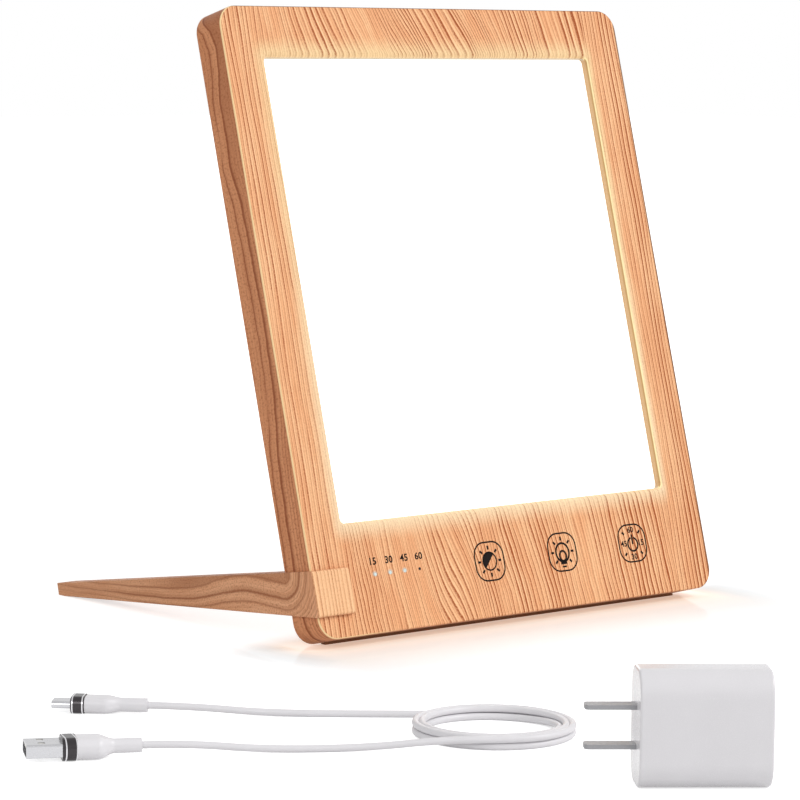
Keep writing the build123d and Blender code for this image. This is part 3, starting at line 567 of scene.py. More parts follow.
def frameWood():
    material, tree, shader = newMaterial("frameWoodPrint", wood["roughness"])
    place = panelPlace(tree)
    right, depth, up = splitPlace(place)
    # painted glow: the face is paler round the window
    reach = windowGap(right, up, span(right, *housing["glowSideways"]))
    glow = times(span(reach, *face["glowReach"]), face["glowShare"])
    front, frontLines = frontGrain(right, up, glow)
    side, sideLines = sideGrain(place, right, depth, up)
    # the window's lip ends in a thin shaded line, where the wall behind it starts
    gap = windowGap(right, up)
    inWindow = span(gap, *housing["lipGap"])
    onLip = times(inWindow, span(depth, *housing["lipDepth"]))
    # painted highlight on the window's rolled lip, paler and stronger at the right
    lip = mixColours(span(right, *housing["lipRight"]), housing["lowLip"], housing["lip"])
    lipShare = span(right, *housing["lipRight"], *housing["lipShare"])
    onSides = span(maths("ABSOLUTE", right), *housing["wallSides"])
    wall = mixColours(onSides, housing["windowTop"], housing["windowWall"])
    onWall = times(inWindow, span(depth, *housing["wallDepth"]))
    onLine = times(inWindow, band(depth, housing["lineDepths"]), onSides)
    # the side's print starts behind the rolled outer edge
    outside = span(gap, *housing["outsideGap"])
    isSide = times(span(depth, *housing["sideDepth"]), outside)
    # the rolled outer edge gets a painted highlight at the left and painted shade at the right and the
    # top
    rolled = times(band(depth, housing["edgeDepths"]), outside)
    atLeft = span(right, *housing["edgeLeft"])
    # painted shade along the right and top edges
    farShade = largest(span(right, *housing["farRight"]), span(up, *housing["farTop"]))
    farShade = times(farShade, span(right, *housing["notFar"]))
    brinkShade = times(span(right, *housing["brinkRight"]), span(depth, *housing["edgeDepths"][1]))
    # painted glow from the lit timer lights on the wood round them
    halo = times(timerHalo(right, up), span(depth, *timer["haloDepth"]))
    colour = layered(
        front,
        (times(onLip, lipShare), lip),
        (onWall, wall),
        (onLine, housing["windowLine"]),
        (isSide, side),
        (times(rolled, atLeft), housing["edge"]),
        (times(rolled, farShade), housing["farEdgeShade"]),
        (times(brinkShade, housing["brinkShare"]), housing["farEdgeShade"]),
        (times(halo, timer["haloShare"]), timer["paintedHaloColour"]),
    )
    finishWood(shader, colour, mixValues(isSide, frontLines, sideLines))
    return material


leg = {
    "light": tint(238, 179, 137),
    "warm": tint(224, 162, 120),
    "line": tint(134, 72, 36),
    "highlightRim": tint(238, 180, 138),
    "cloudSize": (4.0, 30.0, 6.0),
    "cloudSpan": (0.3, 0.7),
    "fleckShare": 0.46,
    "fleckSize": (0.75, 0.75),
    # height of the longest growth line, in shares of lineHeight, from the leg's root to its tip
    "longest": [
        (0, 0.57), (0.12, 0.56), (0.18, 0.57), (0.24, 0.595), (0.3, 0.56), (0.38, 0.435),
        (0.46, 0.32), (0.55, 0.27), (0.7, 0.22), (1, 0.12),
    ],
    "lineHeight": 32.0,
    "start": 16.0,
    "length": 176.0,
    "closing": (20.0, 150.0, 1.0, 2.2),  # the rings close up towards the tip
    "eyeHeight": 27.0,  # near the root they turn up round an eye
    "eyeBack": 8.0,
    "eyeRadius": 9.0,
    "eyeSpan": (14.0, 4.0),
    "wave": (2.6, 22.0, 14.0),
    "jitter": (0.7, 1.6, 1.2, 6.0),
    "sideways": 0.35,  # rings shift with the distance from the outer side
    "outerSide": 109.3,
    # each line's place across the rings, the gaps to it at which it starts and is full, its darkness
    "rings": [(0.0, 1.3, 0.0, 0.75), (-6.2, 1.3, 0.0, 0.65), (4.2, 0.9, 0.1, 0.5)],
    "upperSpan": (-5.6, -6.6),  # above the upper line all is darker, but not at the tip
    "upperShare": (68.0, 96.0, 0.42, 0.1),
    "ribbonSpans": ((-3.2, 0.0), (0.4, 0.0)),
    "ribbonShare": 0.4,
    "fine": (1.7, 0.9, 8.0),
    "fineSpan": (20.0, -8.0, 0.16, 0.5),
    "tipFade": (80.0, 150.0, 1.0, 0.5),
}


def legRings(sideways, back, height):
    # the place across the leg's growth rings: 0 on the longest line, less above it
    along = maths("DIVIDE", maths("ADD", back, leg["start"]), leg["length"])
    longest = times(ramp(along, leg["longest"], "B_SPLINE"), leg["lineHeight"])
    below = times(maths("SUBTRACT", longest, height), span(back, *leg["closing"]))
    eyeBelow = maths("SUBTRACT", leg["eyeHeight"], height)
    eyeBefore = largest(maths("SUBTRACT", leg["eyeBack"], back), 0.0)
    eyeRing = maths("SUBTRACT", distance(eyeBefore, eyeBelow), leg["eyeRadius"])
    ring = mixValues(span(back, *leg["eyeSpan"]), below, eyeRing)
    ring = swayed(ring, back, height, *leg["wave"])
    ring = maths("ADD", ring, leg["sideways"] * leg["outerSide"])
    ring = maths("MULTIPLY_ADD", sideways, leg["sideways"], ring)
    return swayed(ring, back, height, *leg["jitter"])


tab = {
    "light": tint(255, 208, 160),
    "warm": tint(250, 194, 144),
    "line": face["line"],
    "highlightRim": face["highlightRim"],
    "cloudSize": (4.0, 30.0),
    "fleckShare": 0.2,
    "fleckSize": (0.45, 0.9),
    "fine": (1.9, 2.0, 21.0),
    "darkness": 0.66,
    "depthSpan": (-0.4, -2.0),
    "facingSpan": (0.3, 0.7),
}


def tabGrain(right, up):
    # straight lines of its own, a little paler than the face
    lines, highlightRims = evenLines(right, up, *tab["fine"])
    lines = times(lines, tab["darkness"])
    cloud = streaks(right, up, *tab["cloudSize"])
    ground = mixColours(cloud, tab["light"], tab["warm"])
    return woodColour(lines, highlightRims, right, up, ground, tab), lines


def legWood():
    material, tree, shader = newMaterial("legWoodPrint", wood["roughness"])
    right, depth, up = splitPlace(panelPlace(tree))
    front, tabLines = tabGrain(right, up)
    sideways, back, height = splitPlace(objectPlace(tree))
    ring = legRings(sideways, back, height)
    lines = 0.0
    for place, widest, narrowest, dark in leg["rings"]:
        line = span(gapTo(ring, place), widest, narrowest)
        lines = largest(lines, times(line, dark))
    upper = times(span(ring, *leg["upperSpan"]), span(back, *leg["upperShare"]))
    ribbon = times(band(ring, leg["ribbonSpans"]), leg["ribbonShare"])
    fine, highlightRims = evenLines(ring, back, *leg["fine"])
    fine = times(fine, span(back, *leg["fineSpan"]))
    lines = largest(lines, upper, ribbon, fine)
    lines = times(lines, span(back, *leg["tipFade"]))
    ground = cloudedGround(ring, back, leg, detail=1.0)
    side = woodColour(lines, highlightRims, ring, back, ground, leg)
    # the clip's front tab is told by its place and by facing the front
    inputs = {0: coordinates(tree, "Normal"), 1: panelOut}
    facing = addNode("ShaderNodeVectorMath", inputs, operation="DOT_PRODUCT")
    facing = span(facing.outputs["Value"], *tab["facingSpan"])
    isTab = times(span(depth, *tab["depthSpan"]), facing)
    finishWood(shader, mixColours(isTab, side, front), mixValues(isTab, lines, tabLines))
    return material


cover = {
    "roughness": 0.5,
    **{name: sides[name] for name in ("light", "warm", "line", "highlightRim")},
    "cloudSize": (14.0, 80.0, 2.0),
    "cloudSpan": (0.3, 0.7),
    "fleckShare": 0.3,
    "fleckSize": (0.45, 0.9),
    "waveSize": (40.0, 110.0, 6.0),
    "waveSway": 26.0,
    "fine": (3.4, 3.0, 12.0),
    "darkness": 0.6,
}


def coverWood():
    material, tree, shader = newMaterial("coverWoodPrint", cover["roughness"])
    right, _, up = splitPlace(panelPlace(tree))
    waves = streaks(right, up, *cover["waveSize"])
    across = maths("MULTIPLY_ADD", waves, cover["waveSway"], right)
    lines, highlightRims = evenLines(across, up, *cover["fine"])
    lines = times(lines, cover["darkness"])
    ground = cloudedGround(across, up, cover)
    colour = woodColour(lines, highlightRims, across, up, ground, cover)
    finishWood(shader, colour, lines)
    return material


opal = {
    "roughness": 0.35,
    "sheet": tint(250, 250, 248),
    "light": (tint(255, 255, 255), tint(253, 254, 255)),
    "cloudScale": 0.02,
    "strength": 1.0,
}


def litPanel():
    # opal sheet, evenly lit from behind
    material, tree, shader = newMaterial("opalPanel", opal["roughness"])
    cloud = noise(objectPlace(tree), opal["cloudScale"], 1.0)
    feed(mixColours(cloud, *opal["light"]), shader, "Emission Color")
    shader.inputs["Base Color"].default_value = opal["sheet"]
    shader.inputs["Emission Strength"].default_value = opal["strength"]
    return material


def timerLights():
    # the first three pipes are lit, the last is dark
    material, tree, shader = newMaterial("timerLightPipe", timer["roughness"])
    place = panelPlace(tree)
    lit = span(splitPlace(place)[0], *timer["litEnd"])
    cool = mixColours(noise(place, timer["cloudScale"]), *timer["coolLight"])
    feed(mixColours(lit, timer["dark"], cool), shader)
    feed(mixColours(lit, (0, 0, 0, 1), cool), shader, "Emission Color")
    shader.inputs["Emission Strength"].default_value = timer["strength"]
    return material


moulding = {
    "mottleScale": 0.08,
    "speckleSpan": (0.3, 0.7),
    "smoother": 0.05,
    "rougher": 0.08,
    "depth": 0.0001,
}
plating = {
    "stretch": (0.3, 6.0, 6.0),
    "scratchSpan": (0.2, 0.8),
    "smoother": 0.08,
    "rougher": 0.1,
    "bump": 0.05,
    "depth": 0.00005,
}


def mouldedPlastic(name, light, shade, roughness, speckleScale, bump):
    material, tree, shader = newMaterial(name, roughness)
    place = objectPlace(tree)
    feed(mixColours(noise(place, moulding["mottleScale"]), light, shade), shader)
    speckle = noise(place, speckleScale, 3.0, 0.6)
    limits = roughness - moulding["smoother"], roughness + moulding["rougher"]
    feed(span(speckle, *moulding["speckleSpan"], *limits), shader, "Roughness")
    addBump(shader, speckle, bump, moulding["depth"])
    return material


def platedMetal(name, light, shade, roughness):
    material, tree, shader = newMaterial(name, roughness, Metallic=1.0)
    scratches = noise(objectPlace(tree, plating["stretch"]), 1.0, 3.0, 0.7)
    feed(mixColours(scratches, light, shade), shader)
    limits = roughness - plating["smoother"], roughness + plating["rougher"]
    feed(span(scratches, *plating["scratchSpan"], *limits), shader, "Roughness")
    addBump(shader, scratches, plating["bump"], plating["depth"])
    return material


collar = {
    "dark": (tint(74, 71, 73), tint(54, 52, 54)),
    "paintedGlint": tint(214, 213, 216),
    "roughness": 0.26,
    "lineGap": 1.75,  # from the ring's middle to each painted glint line
    "lineSpan": (0.26, 0.16),  # the gaps to it at which it starts and is full
    "satinScale": 6.0,
}


def boxMiddle(node):
    low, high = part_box(node)
    return (Vector(low) + Vector(high)) / 2


def collarRing(size):
    # dark anodised ring with a thin painted glint line near each edge, where its rounded corners would
    # reflect
    material, tree, shader = newMaterial(f"{size}CollarRing", collar["roughness"], Metallic=1.0)
    middle = boxMiddle(f"{size}_plug_collar")
    way = (boxMiddle(f"{size}_plug_grip") - middle).xy.normalized()
    inputs = {0: coordinates(tree), 1: middle}
    fromMiddle = addNode("ShaderNodeVectorMath", inputs, operation="SUBTRACT").outputs[0]
    inputs = {0: fromMiddle, 1: (*(1000 * way), 0)}
    along = addNode("ShaderNodeVectorMath", inputs, operation="DOT_PRODUCT").outputs["Value"]
    offset = gapTo(maths("ABSOLUTE", along), collar["lineGap"])
    satin = noise(objectPlace(tree), collar["satinScale"], 3.0, 0.7)
    dark = mixColours(satin, *collar["dark"])
    colour = mixColours(span(offset, *collar["lineSpan"]), dark, collar["paintedGlint"])
    feed(colour, shader)
    addBump(shader, satin, plating["bump"], plating["depth"])
    return material


board = {
    "roughness": 0.35,
    "colours": (tint(22, 84, 44), tint(46, 122, 66)),
    "cellScale": 0.35,
    "trackSpan": (0.06, 0.03),
    "bump": 0.1,
    "depth": 0.0001,
}
guide = {
    "roughness": 0.08,
    "refraction": 1.49,
    "clearness": 0.9,
    "colours": (tint(238, 246, 246), tint(252, 252, 252)),
    "dotScale": 0.8,
    "dotSpan": (0.24, 0.18),
}


def circuitBoard():
    # green board with paler tracks
    material, tree, shader = newMaterial("circuitBoard", board["roughness"])
    inputs = {"Vector": panelPlace(tree), "Scale": board["cellScale"]}
    cells = addNode("ShaderNodeTexVoronoi", inputs, feature="DISTANCE_TO_EDGE", distance="CHEBYCHEV")
    tracks = span(cells.outputs["Distance"], *board["trackSpan"])
    feed(mixColours(tracks, *board["colours"]), shader)
    addBump(shader, tracks, board["bump"], board["depth"])
    return material


def clearGuide():
    # clear sheet with a pattern of small white dots
    material, tree, shader = newMaterial("clearGuide", guide["roughness"], IOR=guide["refraction"])
    shader.inputs["Transmission Weight"].default_value = guide["clearness"]
    dots = addNode("ShaderNodeTexVoronoi", {"Vector": objectPlace(tree), "Scale": guide["dotScale"]})
    spot = span(dots.outputs["Distance"], *guide["dotSpan"])
    feed(mixColours(spot, *guide["colours"]), shader)
    return material


# Mouldings: name, light and shade colour, roughness, speckle and bump
mouldings = {
    "white_film": ("whiteFilm", (244, 244, 242), (234, 235, 236), 0.5, 1.2, 0.03),
    "strip_board": ("stripBoard", (242, 242, 236), (230, 231, 226), 0.4, 2.0, 0.05),
    "led_package": ("ledPackage", (250, 236, 160), (244, 226, 140), 0.3, 4.0, 0.03),
    "touch_foam": ("touchFoam", (92, 92, 96), (66, 66, 70), 0.85, 1.6, 0.6),
    "component_black": ("componentBlack", (44, 44, 46), (30, 30, 32), 0.45, 4.0, 0.08),
    "connector_white": ("connectorWhite", (236, 234, 226), (226, 224, 214), 0.4, 3.0, 0.06),
    "foot_rubber": ("footRubber", (178, 126, 90), (158, 108, 76), 0.85, 2.2, 0.5),
    "white_lead": ("leadSheath", (226, 224, 227), (216, 214, 217), 0.42, 2.6, 0.08),
    "white_grip": ("gripMoulding", (228, 226, 229), (219, 217, 220), 0.36, 3.4, 0.08),
    "adapter_white": ("adapterMoulding", (221, 219, 222), (216, 214, 217), 0.22, 5.0, 0.015),
}
# Metals: name, light and shade colour, and roughness. The blades' steel has no slot of its own.
metals = {
    "backing_metal": ("backingSheet", (206, 208, 212), (186, 188, 192), 0.35),
    "component_metal": ("componentCan", (214, 215, 218), (196, 197, 200), 0.28),
    "plated_steel": ("nickelPlate", (200, 200, 203), (176, 176, 179), 0.24),
    "screw_steel": ("zincScrew", (150, 150, 154), (120, 120, 124), 0.38),
    "blade_steel": ("bladeSteel", (150, 150, 152), (122, 122, 125), 0.42),
}
finishes = {
    "wood_frame": frameWood(),
    "wood_cover": coverWood(),
    "wood_leg": legWood(),
    "opal_panel": litPanel(),
    "clear_guide": clearGuide(),
    "circuit_board": circuitBoard(),
    "timer_light": timerLights(),
    "black_collar": collarRing("small"),
}
for slot, (name, light, shade, *rest) in mouldings.items():
    finishes[slot] = mouldedPlastic(name, tint(*light), tint(*shade), *rest)
for slot, (name, light, shade, roughness) in metals.items():
    finishes[slot] = platedMetal(name, tint(*light), tint(*shade), roughness)
for part in frame["record"]["subparts"]:
    holder = nodes[part["node"]]
    if not holder.material_slots:
        holder.data.materials.append(None)
    holder.material_slots[0].material = finishes[part["material_slot"]]
# two nodes have a finish of their own within their slot
nodes["adapter_blades"].material_slots[0].material = finishes["blade_steel"]
nodes["large_plug_collar"].material_slots[0].material = collarRing("large")


lead = {
    "layAngle": math.radians(38),
    "coilCentre": Vector((-0.1596, -0.1647, 0.0)),
    "diameter": 0.0025,
    "turnRadius": 0.02775,  # of the outermost turn's centreline
    "innerRadius": 0.02275,  # of the innermost
    "turns": 4.5,
    "pointsPerTurn": 16,
    "climbTurns": 0.3,  # the rise from the lower to the upper layer
    "length": 0.944,
    "resolution": 8,
    "bevelResolution": 5,
}
# From the coil to each plug: along the lay, nearer the front, and up
smallLead = [
    (-0.003, -0.02775, 0.00125),
    (-0.037, -0.02775, 0.00125),
    (-0.076, -0.0294, 0.00125),
    (-0.101, -0.0319, 0.00305),
    (-0.117, -0.034, 0.00305),
]
largeLead = [
    (-0.003, 0.02775, 0.00375),
    (-0.018, 0.02775, 0.00375),
    (-0.045, 0.0285, 0.00125),
    (-0.078, 0.0308, 0.00125),
    (-0.103, 0.0336, 0.00385),
    (-0.118, 0.0359, 0.00385),
]


def layPlace(along, nearer, height):
    cosine, sine = math.cos(lead["layAngle"]), math.sin(lead["layAngle"])
    offset = Vector((along * cosine - nearer * sine, -along * sine - nearer * cosine, height))
    return lead["coilCentre"] + offset


def coilPlaces():
    # one layer of turns spirals in on the surface, the next lies on it and spirals out
    steps = round(lead["turns"] * lead["pointsPerTurn"])
    outward = 1 / math.cos(math.pi / lead["pointsPerTurn"])  # the spline cuts inside its points
    places = []
    for step in range(1, steps):
        turn = step / lead["pointsPerTurn"]
        fromMiddle = turn - lead["turns"] / 2
        share = abs(fromMiddle) / (lead["turns"] / 2)
        radius = lead["innerRadius"] + (lead["turnRadius"] - lead["innerRadius"]) * share
        rise = min(max(fromMiddle / lead["climbTurns"] + 0.5, 0), 1)
        angle = 2 * math.pi * turn
        along = outward * radius * math.sin(angle)
        nearer = -outward * radius * math.cos(angle)
        places.append(layPlace(along, nearer, lead["diameter"] * (0.5 + rise)))
    return places


def chargingLead():
    fromSmall = [layPlace(*p) for p in reversed(smallLead)]
    toLarge = [layPlace(*p) for p in largeLead]
    places = fromSmall + coilPlaces() + toLarge
    curve = bpy.data.curves.new("chargingLead", "CURVE")
    curve.dimensions = "3D"
    line = curve.splines.new("NURBS")
    line.points.add(len(places) - 1)
    for point, place in zip(line.points, places):
        point.co = (*place, 1)
    line.order_u = 3
    line.use_endpoint_u = True
    line.resolution_u = lead["resolution"]
    curve.bevel_depth = lead["diameter"] / 2
    curve.bevel_resolution = lead["bevelResolution"]
    curve.use_fill_caps = True
    curve.materials.append(finishes["white_lead"])
    cord = addObject("chargingLead", curve)
    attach(cord, "lamp")
    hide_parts("cable_lead_small", "cable_coil", "cable_lead_large")
    plugPieces = []
    for size in ("small", "large"):
        plugPieces += [nodes[f"{size}_plug_{piece}"] for piece in ("grip", "collar", "shell", "insert")]


chargingLead()
print("charging lead laid")


prints = {
    "ink": tint(20, 12, 10),
    "wornInk": tint(80, 50, 36),
    "wornScale": 2.2,
    "wornSpan": (0.6, 0.85, 0.0, 0.2),
    "roughness": 0.6,
    "gloss": 0.1,
    "thickness": 0.00006,
    "keyPlaces": (-0.01565, 0.02465, 0.06495),  # from left to right
    "keyHeight": 0.02227,
    "outlineSize": 0.01545,
    "outlineRadius": 0.0055,
    "thinLine": 0.00065,
    "boldLine": 0.00088,
    "rayRadius": 0.0055,
    "rayLength": 0.0016,
    "rayWidth": 0.00092,
    "digitWeight": 0.024,  # in shares of the font's size
}


def inkMaterial():
    material, tree, shader = newMaterial("printedInk", prints["roughness"])
    shader.inputs["Specular IOR Level"].default_value = prints["gloss"]
    worn = span(noise(objectPlace(tree), prints["wornScale"], 3.0, 0.7), *prints["wornSpan"])
    feed(mixColours(worn, prints["ink"], prints["wornInk"]), shader)
    return material


ink = inkMaterial()


def stroke(made, points, width, closed=False):
    # a flat band of even width along the points, at z = 0
    count = len(points)
    rails = []
    for i, point in enumerate(points):
        before = points[i - 1] if closed or i else point
        after = points[(i + 1) % count] if closed or i < count - 1 else point
        way = (Vector(after) - Vector(before)).normalized()
        side = Vector((-way.y, way.x)) * width / 2
        left = made.verts.new((point[0] + side.x, point[1] + side.y, 0))
        right = made.verts.new((point[0] - side.x, point[1] - side.y, 0))
        rails.append((left, right))
    pairs = zip(rails, rails[1:] + rails[:1]) if closed else zip(rails, rails[1:])
    for (left, right), (nextLeft, nextRight) in pairs:
        made.faces.new((left, right, nextRight, nextLeft))


def fillShape(made, points):
    made.faces.new([made.verts.new((x, y, 0)) for x, y in points])


def arc(x, y, radius, start, end, steps=32, stretch=1.0):
    angles = [math.radians(start + (end - start) * i / steps) for i in range(steps + 1)]
    return [(x + radius * math.cos(a), y + stretch * radius * math.sin(a)) for a in angles]


def oval(made, y, radius, corners, width, stretch=1.0):
    steps = corners - 1
    stroke(made, arc(0, y, radius, 0, 360 * steps / corners, steps, stretch), width, closed=True)


def rays(made, angles, radius):
    for angle in angles:
        way = Vector((math.cos(math.radians(angle)), math.sin(math.radians(angle))))
        ends = (radius - prints["rayLength"] / 2, radius + prints["rayLength"] / 2)
        stroke(made, [way * end for end in ends], prints["rayWidth"])


def keyOutline(made):
    inner = prints["outlineSize"] / 2 - prints["outlineRadius"]
    points = []
    for quarter, (signX, signY) in enumerate(((1, 1), (-1, 1), (-1, -1), (1, -1))):
        start = 90 * quarter
        points += arc(signX * inner, signY * inner, prints["outlineRadius"], start, start + 90, 8)
    stroke(made, points, prints["thinLine"], closed=True)


def printPiece(name, made, right, up):
    # gives the flat drawing its thickness and stands it on the face
    bmesh.ops.recalc_face_normals(made, faces=made.faces[:])
    bmesh.ops.solidify(made, geom=made.faces[:], thickness=prints["thickness"])
    matrix = faceMatrix(right, up, prints["thickness"] / 2)
    bmesh.ops.transform(made, matrix=matrix, verts=made.verts[:])
    bmesh.ops.recalc_face_normals(made, faces=made.faces[:])
    piece = addMesh(name, made, ink)
    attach(piece, "lamp")


def addWord(made, word, x, y, height, stretch):
    # draws digits centred on a place, as flat faces
    font = bpy.data.curves.new("digits", "FONT")
    font.body = word
    font.align_x = "CENTER"
    font.resolution_u = 3
    font.offset = prints["digitWeight"]
    holder = bpy.data.objects.new("digits", font)
    flat = bpy.data.meshes.new_from_object(holder)
    drawn = bmesh.new()
    drawn.from_mesh(flat)
    low = min(v.co.y for v in drawn.verts)
    tall = max(v.co.y for v in drawn.verts) - low
    left = min(v.co.x for v in drawn.verts)
    wide = max(v.co.x for v in drawn.verts) - left
    scale = height / tall
    for v in drawn.verts:
        acrossWord = (v.co.x - left - wide / 2) * scale * stretch
        upWord = (v.co.y - low - tall / 2) * scale
        v.co = (x + acrossWord, y + upWord, 0)
    drawn.to_mesh(flat)
    drawn.free()
    made.from_mesh(flat)
    bpy.data.objects.remove(holder)
    bpy.data.curves.remove(font)
    bpy.data.meshes.remove(flat)


timerPrint = {
    "places": (-0.07615, -0.068, -0.06022, -0.05255),
    "words": ("15", "30", "45", "60"),
    "height": 0.02795,
    "digitHeight": 0.0029,
    "stretch": 1.06,
}


def timerDigits():
    made = bmesh.new()
    for place, word in zip(timerPrint["places"], timerPrint["words"]):
        addWord(made, word, place, 0, timerPrint["digitHeight"], timerPrint["stretch"])
    printPiece("timerDigits", made, 0, timerPrint["height"])


dimmer = {"radius": 0.0036, "corners": 32, "filled": (48, 228), "rays": range(0, 360, 45)}


def dimmerMark():
    made = bmesh.new()
    keyOutline(made)
    oval(made, 0, dimmer["radius"], dimmer["corners"], prints["thinLine"])
    fillShape(made, arc(0, 0, dimmer["radius"], *dimmer["filled"]))
    rays(made, dimmer["rays"], prints["rayRadius"])
    printPiece("dimmerMark", made, prints["keyPlaces"][0], prints["keyHeight"])


# Ovals as height of the middle, radius, corners and stretch; bars as half length, height and boldness
bulb = {
    "ovals": ((-0.0002, 0.0036, 36, 1.06), (-0.0016, 0.0018, 24, 1.14)),
    "bars": ((0.0017, -0.0046, 1.0), (0.0011, -0.006, 0.8)),
    "rays": (-45, 0, 45, 90, 135, 180, 225),
}


def bulbMark():
    # the glass, the drop of light inside it, and the two bars of its cap
    made = bmesh.new()
    keyOutline(made)
    for y, radius, corners, stretch in bulb["ovals"]:
        oval(made, y, radius, corners, prints["boldLine"], stretch)
    for half, y, boldness in bulb["bars"]:
        stroke(made, [(-half, y), (half, y)], boldness * prints["boldLine"])
    rays(made, bulb["rays"], prints["rayRadius"])
    printPiece("bulbMark", made, prints["keyPlaces"][1], prints["keyHeight"])


power = {
    "middle": (0.00016, -0.0005),
    "radius": 0.0028,
    "arc": (104, 436),
    "stemTop": 0.0036,
    "boldness": 0.9,
    "rays": (44, 136, 224, 316),
    "rayRadius": 0.0063,
    "digitHeight": 0.0025,
    "stretch": 1.05,
    "words": (("60", 0, 0.0056), ("15", 0.0051, -0.0001), ("30", 0, -0.0056), ("45", -0.0049, 0.0001)),
}


def powerMark():
    made = bmesh.new()
    keyOutline(made)
    width = power["boldness"] * prints["boldLine"]
    x, y = power["middle"]
    stroke(made, arc(x, y, power["radius"], *power["arc"]), width)
    stroke(made, [(x, y), (x, power["stemTop"])], width)
    rays(made, power["rays"], power["rayRadius"])
    for word, right, up in power["words"]:
        addWord(made, word, right, up, power["digitHeight"], power["stretch"])
    printPiece("powerMark", made, prints["keyPlaces"][2], prints["keyHeight"])


timerDigits()
dimmerMark()
bulbMark()
powerMark()
print("prints on the face")


stage = {
    "floorHalf": 6.0,
    "floorColour": tint(232, 232, 232),
    "nearLift": 0.66,  # light for the camera and mirrors alone, so that the open floor is white
    "farLift": 1.0,
    "nearRadius": 0.25,
    "farRadius": 1.1,
    # the same lift in steps away from the panel's foot, where it is a painted reflection in the wood's
    # colour
    "footReach": 0.09,
    "paintedFootReflection": [
        (0, (0.62, 0.46, 0.38, 1)), (0.08, (0.52, 0.38, 0.28, 1)), (0.13, (0.4, 0.28, 0.18, 1)),
        (0.26, (0.24, 0.19, 0.15, 1)), (0.39, (0.17, 0.17, 0.16, 1)), (0.58, (0.2, 0.22, 0.23, 1)),
        (0.8, (0.3, 0.32, 0.33, 1)), (1, (0.5, 0.5, 0.5, 1)),
    ],
    "footFade": (1.0, 0.8),
    "footBehind": (0.03, 0.0),
    "pastEnds": 2.5,  # past the panel's ends all this fades sooner
    "mirrorShare": 0.16,  # where the panel stands, fading out before it
    "mirrorReach": 0.12,
    "mirrorRoughness": 0.06,
    "softLight": 0.55,
    "seenLight": 1.0,  # of the world as the camera sees it
    "white": (1, 1, 1, 1),
}


def seenDirectly(tree):
    seen = addNode("ShaderNodeLightPath", tree=tree).outputs
    return largest(seen["Is Camera Ray"], seen["Is Glossy Ray"], seen["Is Transmission Ray"])


def floorMaterial():
    material = bpy.data.materials.new("paleFloor")
    material.use_nodes = True
    tree = material.node_tree
    tree.nodes.clear()
    x, y, _ = splitPlace(coordinates(tree))
    matt = addNode("ShaderNodeBsdfDiffuse", {"Color": stage["floorColour"]}, tree).outputs[0]
    inputs = {"Color": stage["white"], "Roughness": stage["mirrorRoughness"]}
    gloss = addNode("ShaderNodeBsdfGlossy", inputs, tree).outputs[0]
    pastEnd = maths("SUBTRACT", maths("ABSOLUTE", x), panel["width"] / 2)
    pastEnd = times(largest(pastEnd, 0.0), stage["pastEnds"])
    fromFoot = distance(pastEnd, y)
    mirror = span(fromFoot, stage["mirrorReach"], 0.0, end=stage["mirrorShare"])
    both = addNode("ShaderNodeMixShader", {0: mirror, 1: matt, 2: gloss}).outputs[0]
    radii = stage["nearRadius"], stage["farRadius"]
    lift = span(distance(x, y), *radii, stage["nearLift"], stage["farLift"])
    footShare = maths("DIVIDE", fromFoot, stage["footReach"])
    atFoot = times(span(footShare, *stage["footFade"]), span(y, *stage["footBehind"]))
    # painted reflection of the wood on the floor near the panel's foot
    paintedReflection = ramp(footShare, stage["paintedFootReflection"])
    liftColour = mixColours(atFoot, combine(lift, lift, lift), paintedReflection)
    inputs = {"Color": liftColour, "Strength": seenDirectly(tree)}
    extra = addNode("ShaderNodeEmission", inputs).outputs[0]
    total = addNode("ShaderNodeAddShader", {0: both, 1: extra}).outputs[0]
    addNode("ShaderNodeOutputMaterial", {"Surface": total})
    return material


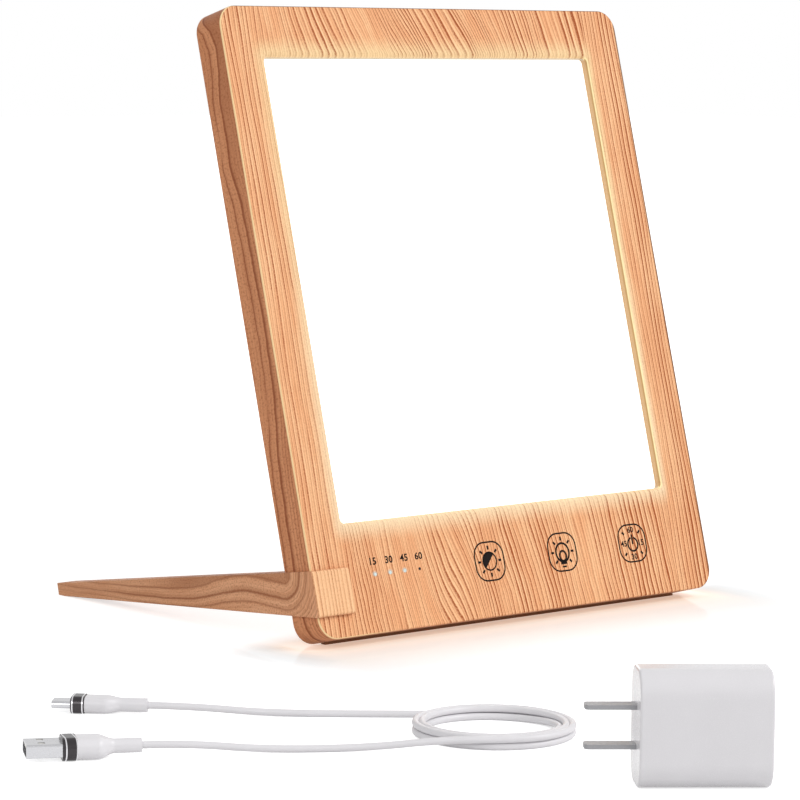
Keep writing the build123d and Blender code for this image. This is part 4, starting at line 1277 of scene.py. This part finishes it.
def addFloor():
    made = bmesh.new()
    bmesh.ops.create_grid(made, x_segments=1, y_segments=1, size=stage["floorHalf"])
    addMesh("floor", made, floorMaterial())


def addWorld():
    world = bpy.data.worlds.new("softWorld")
    bpy.context.scene.world = world
    world.use_nodes = True
    tree = world.node_tree
    tree.nodes.clear()
    skies = []
    for strength in (stage["softLight"], stage["seenLight"]):
        inputs = {"Color": stage["white"], "Strength": strength}
        skies.append(addNode("ShaderNodeBackground", inputs, tree).outputs[0])
    inputs = {0: seenDirectly(tree), 1: skies[0], 2: skies[1]}
    mixed = addNode("ShaderNodeMixShader", inputs).outputs[0]
    addNode("ShaderNodeOutputWorld", {"Surface": mixed})


lights = {
    "keyLight": {"place": Vector((0.9, -1.5, 1.5)), "size": 1.0, "power": 24},
    "fillLight": {"place": Vector((-1.6, -1.2, 0.9)), "size": 0.9, "power": 9},
}
lightTarget = Vector((0, 0, 0.1))


def addLights():
    for name, values in lights.items():
        light = bpy.data.lights.new(name, "AREA")
        light.size = values["size"]
        light.energy = values["power"]
        lamp = addObject(name, light)
        lamp.location = values["place"]
        lamp.rotation_euler = (lightTarget - values["place"]).to_track_quat("-Z", "Y").to_euler()


cameraView = {
    "sensor": 36,
    "lens": 155.28,
    "nearest": 0.05,
    "farthest": 50,
    "place": (-0.9446, -1.0062, 0.2386),
    "heading": math.radians(41.386),
    "dip": math.radians(6.210),
    "roll": math.radians(0.6776),
}


def addCamera():
    view = bpy.data.cameras.new("camera")
    view.sensor_width = cameraView["sensor"]
    view.lens = cameraView["lens"]
    view.clip_start = cameraView["nearest"]
    view.clip_end = cameraView["farthest"]
    camera = addObject("camera", view)
    turn = Matrix.Rotation(-cameraView["heading"], 4, "Z")
    turn = turn @ Matrix.Rotation(math.pi / 2 - cameraView["dip"], 4, "X")
    turn = turn @ Matrix.Rotation(cameraView["roll"], 4, "Z")
    camera.rotation_euler = turn.to_euler()
    camera.location = cameraView["place"]
    bpy.context.scene.camera = camera


addFloor()
addWorld()
addLights()
addCamera()
bpy.context.scene.view_settings.view_transform = "Standard"
print("stage, lights and camera set")
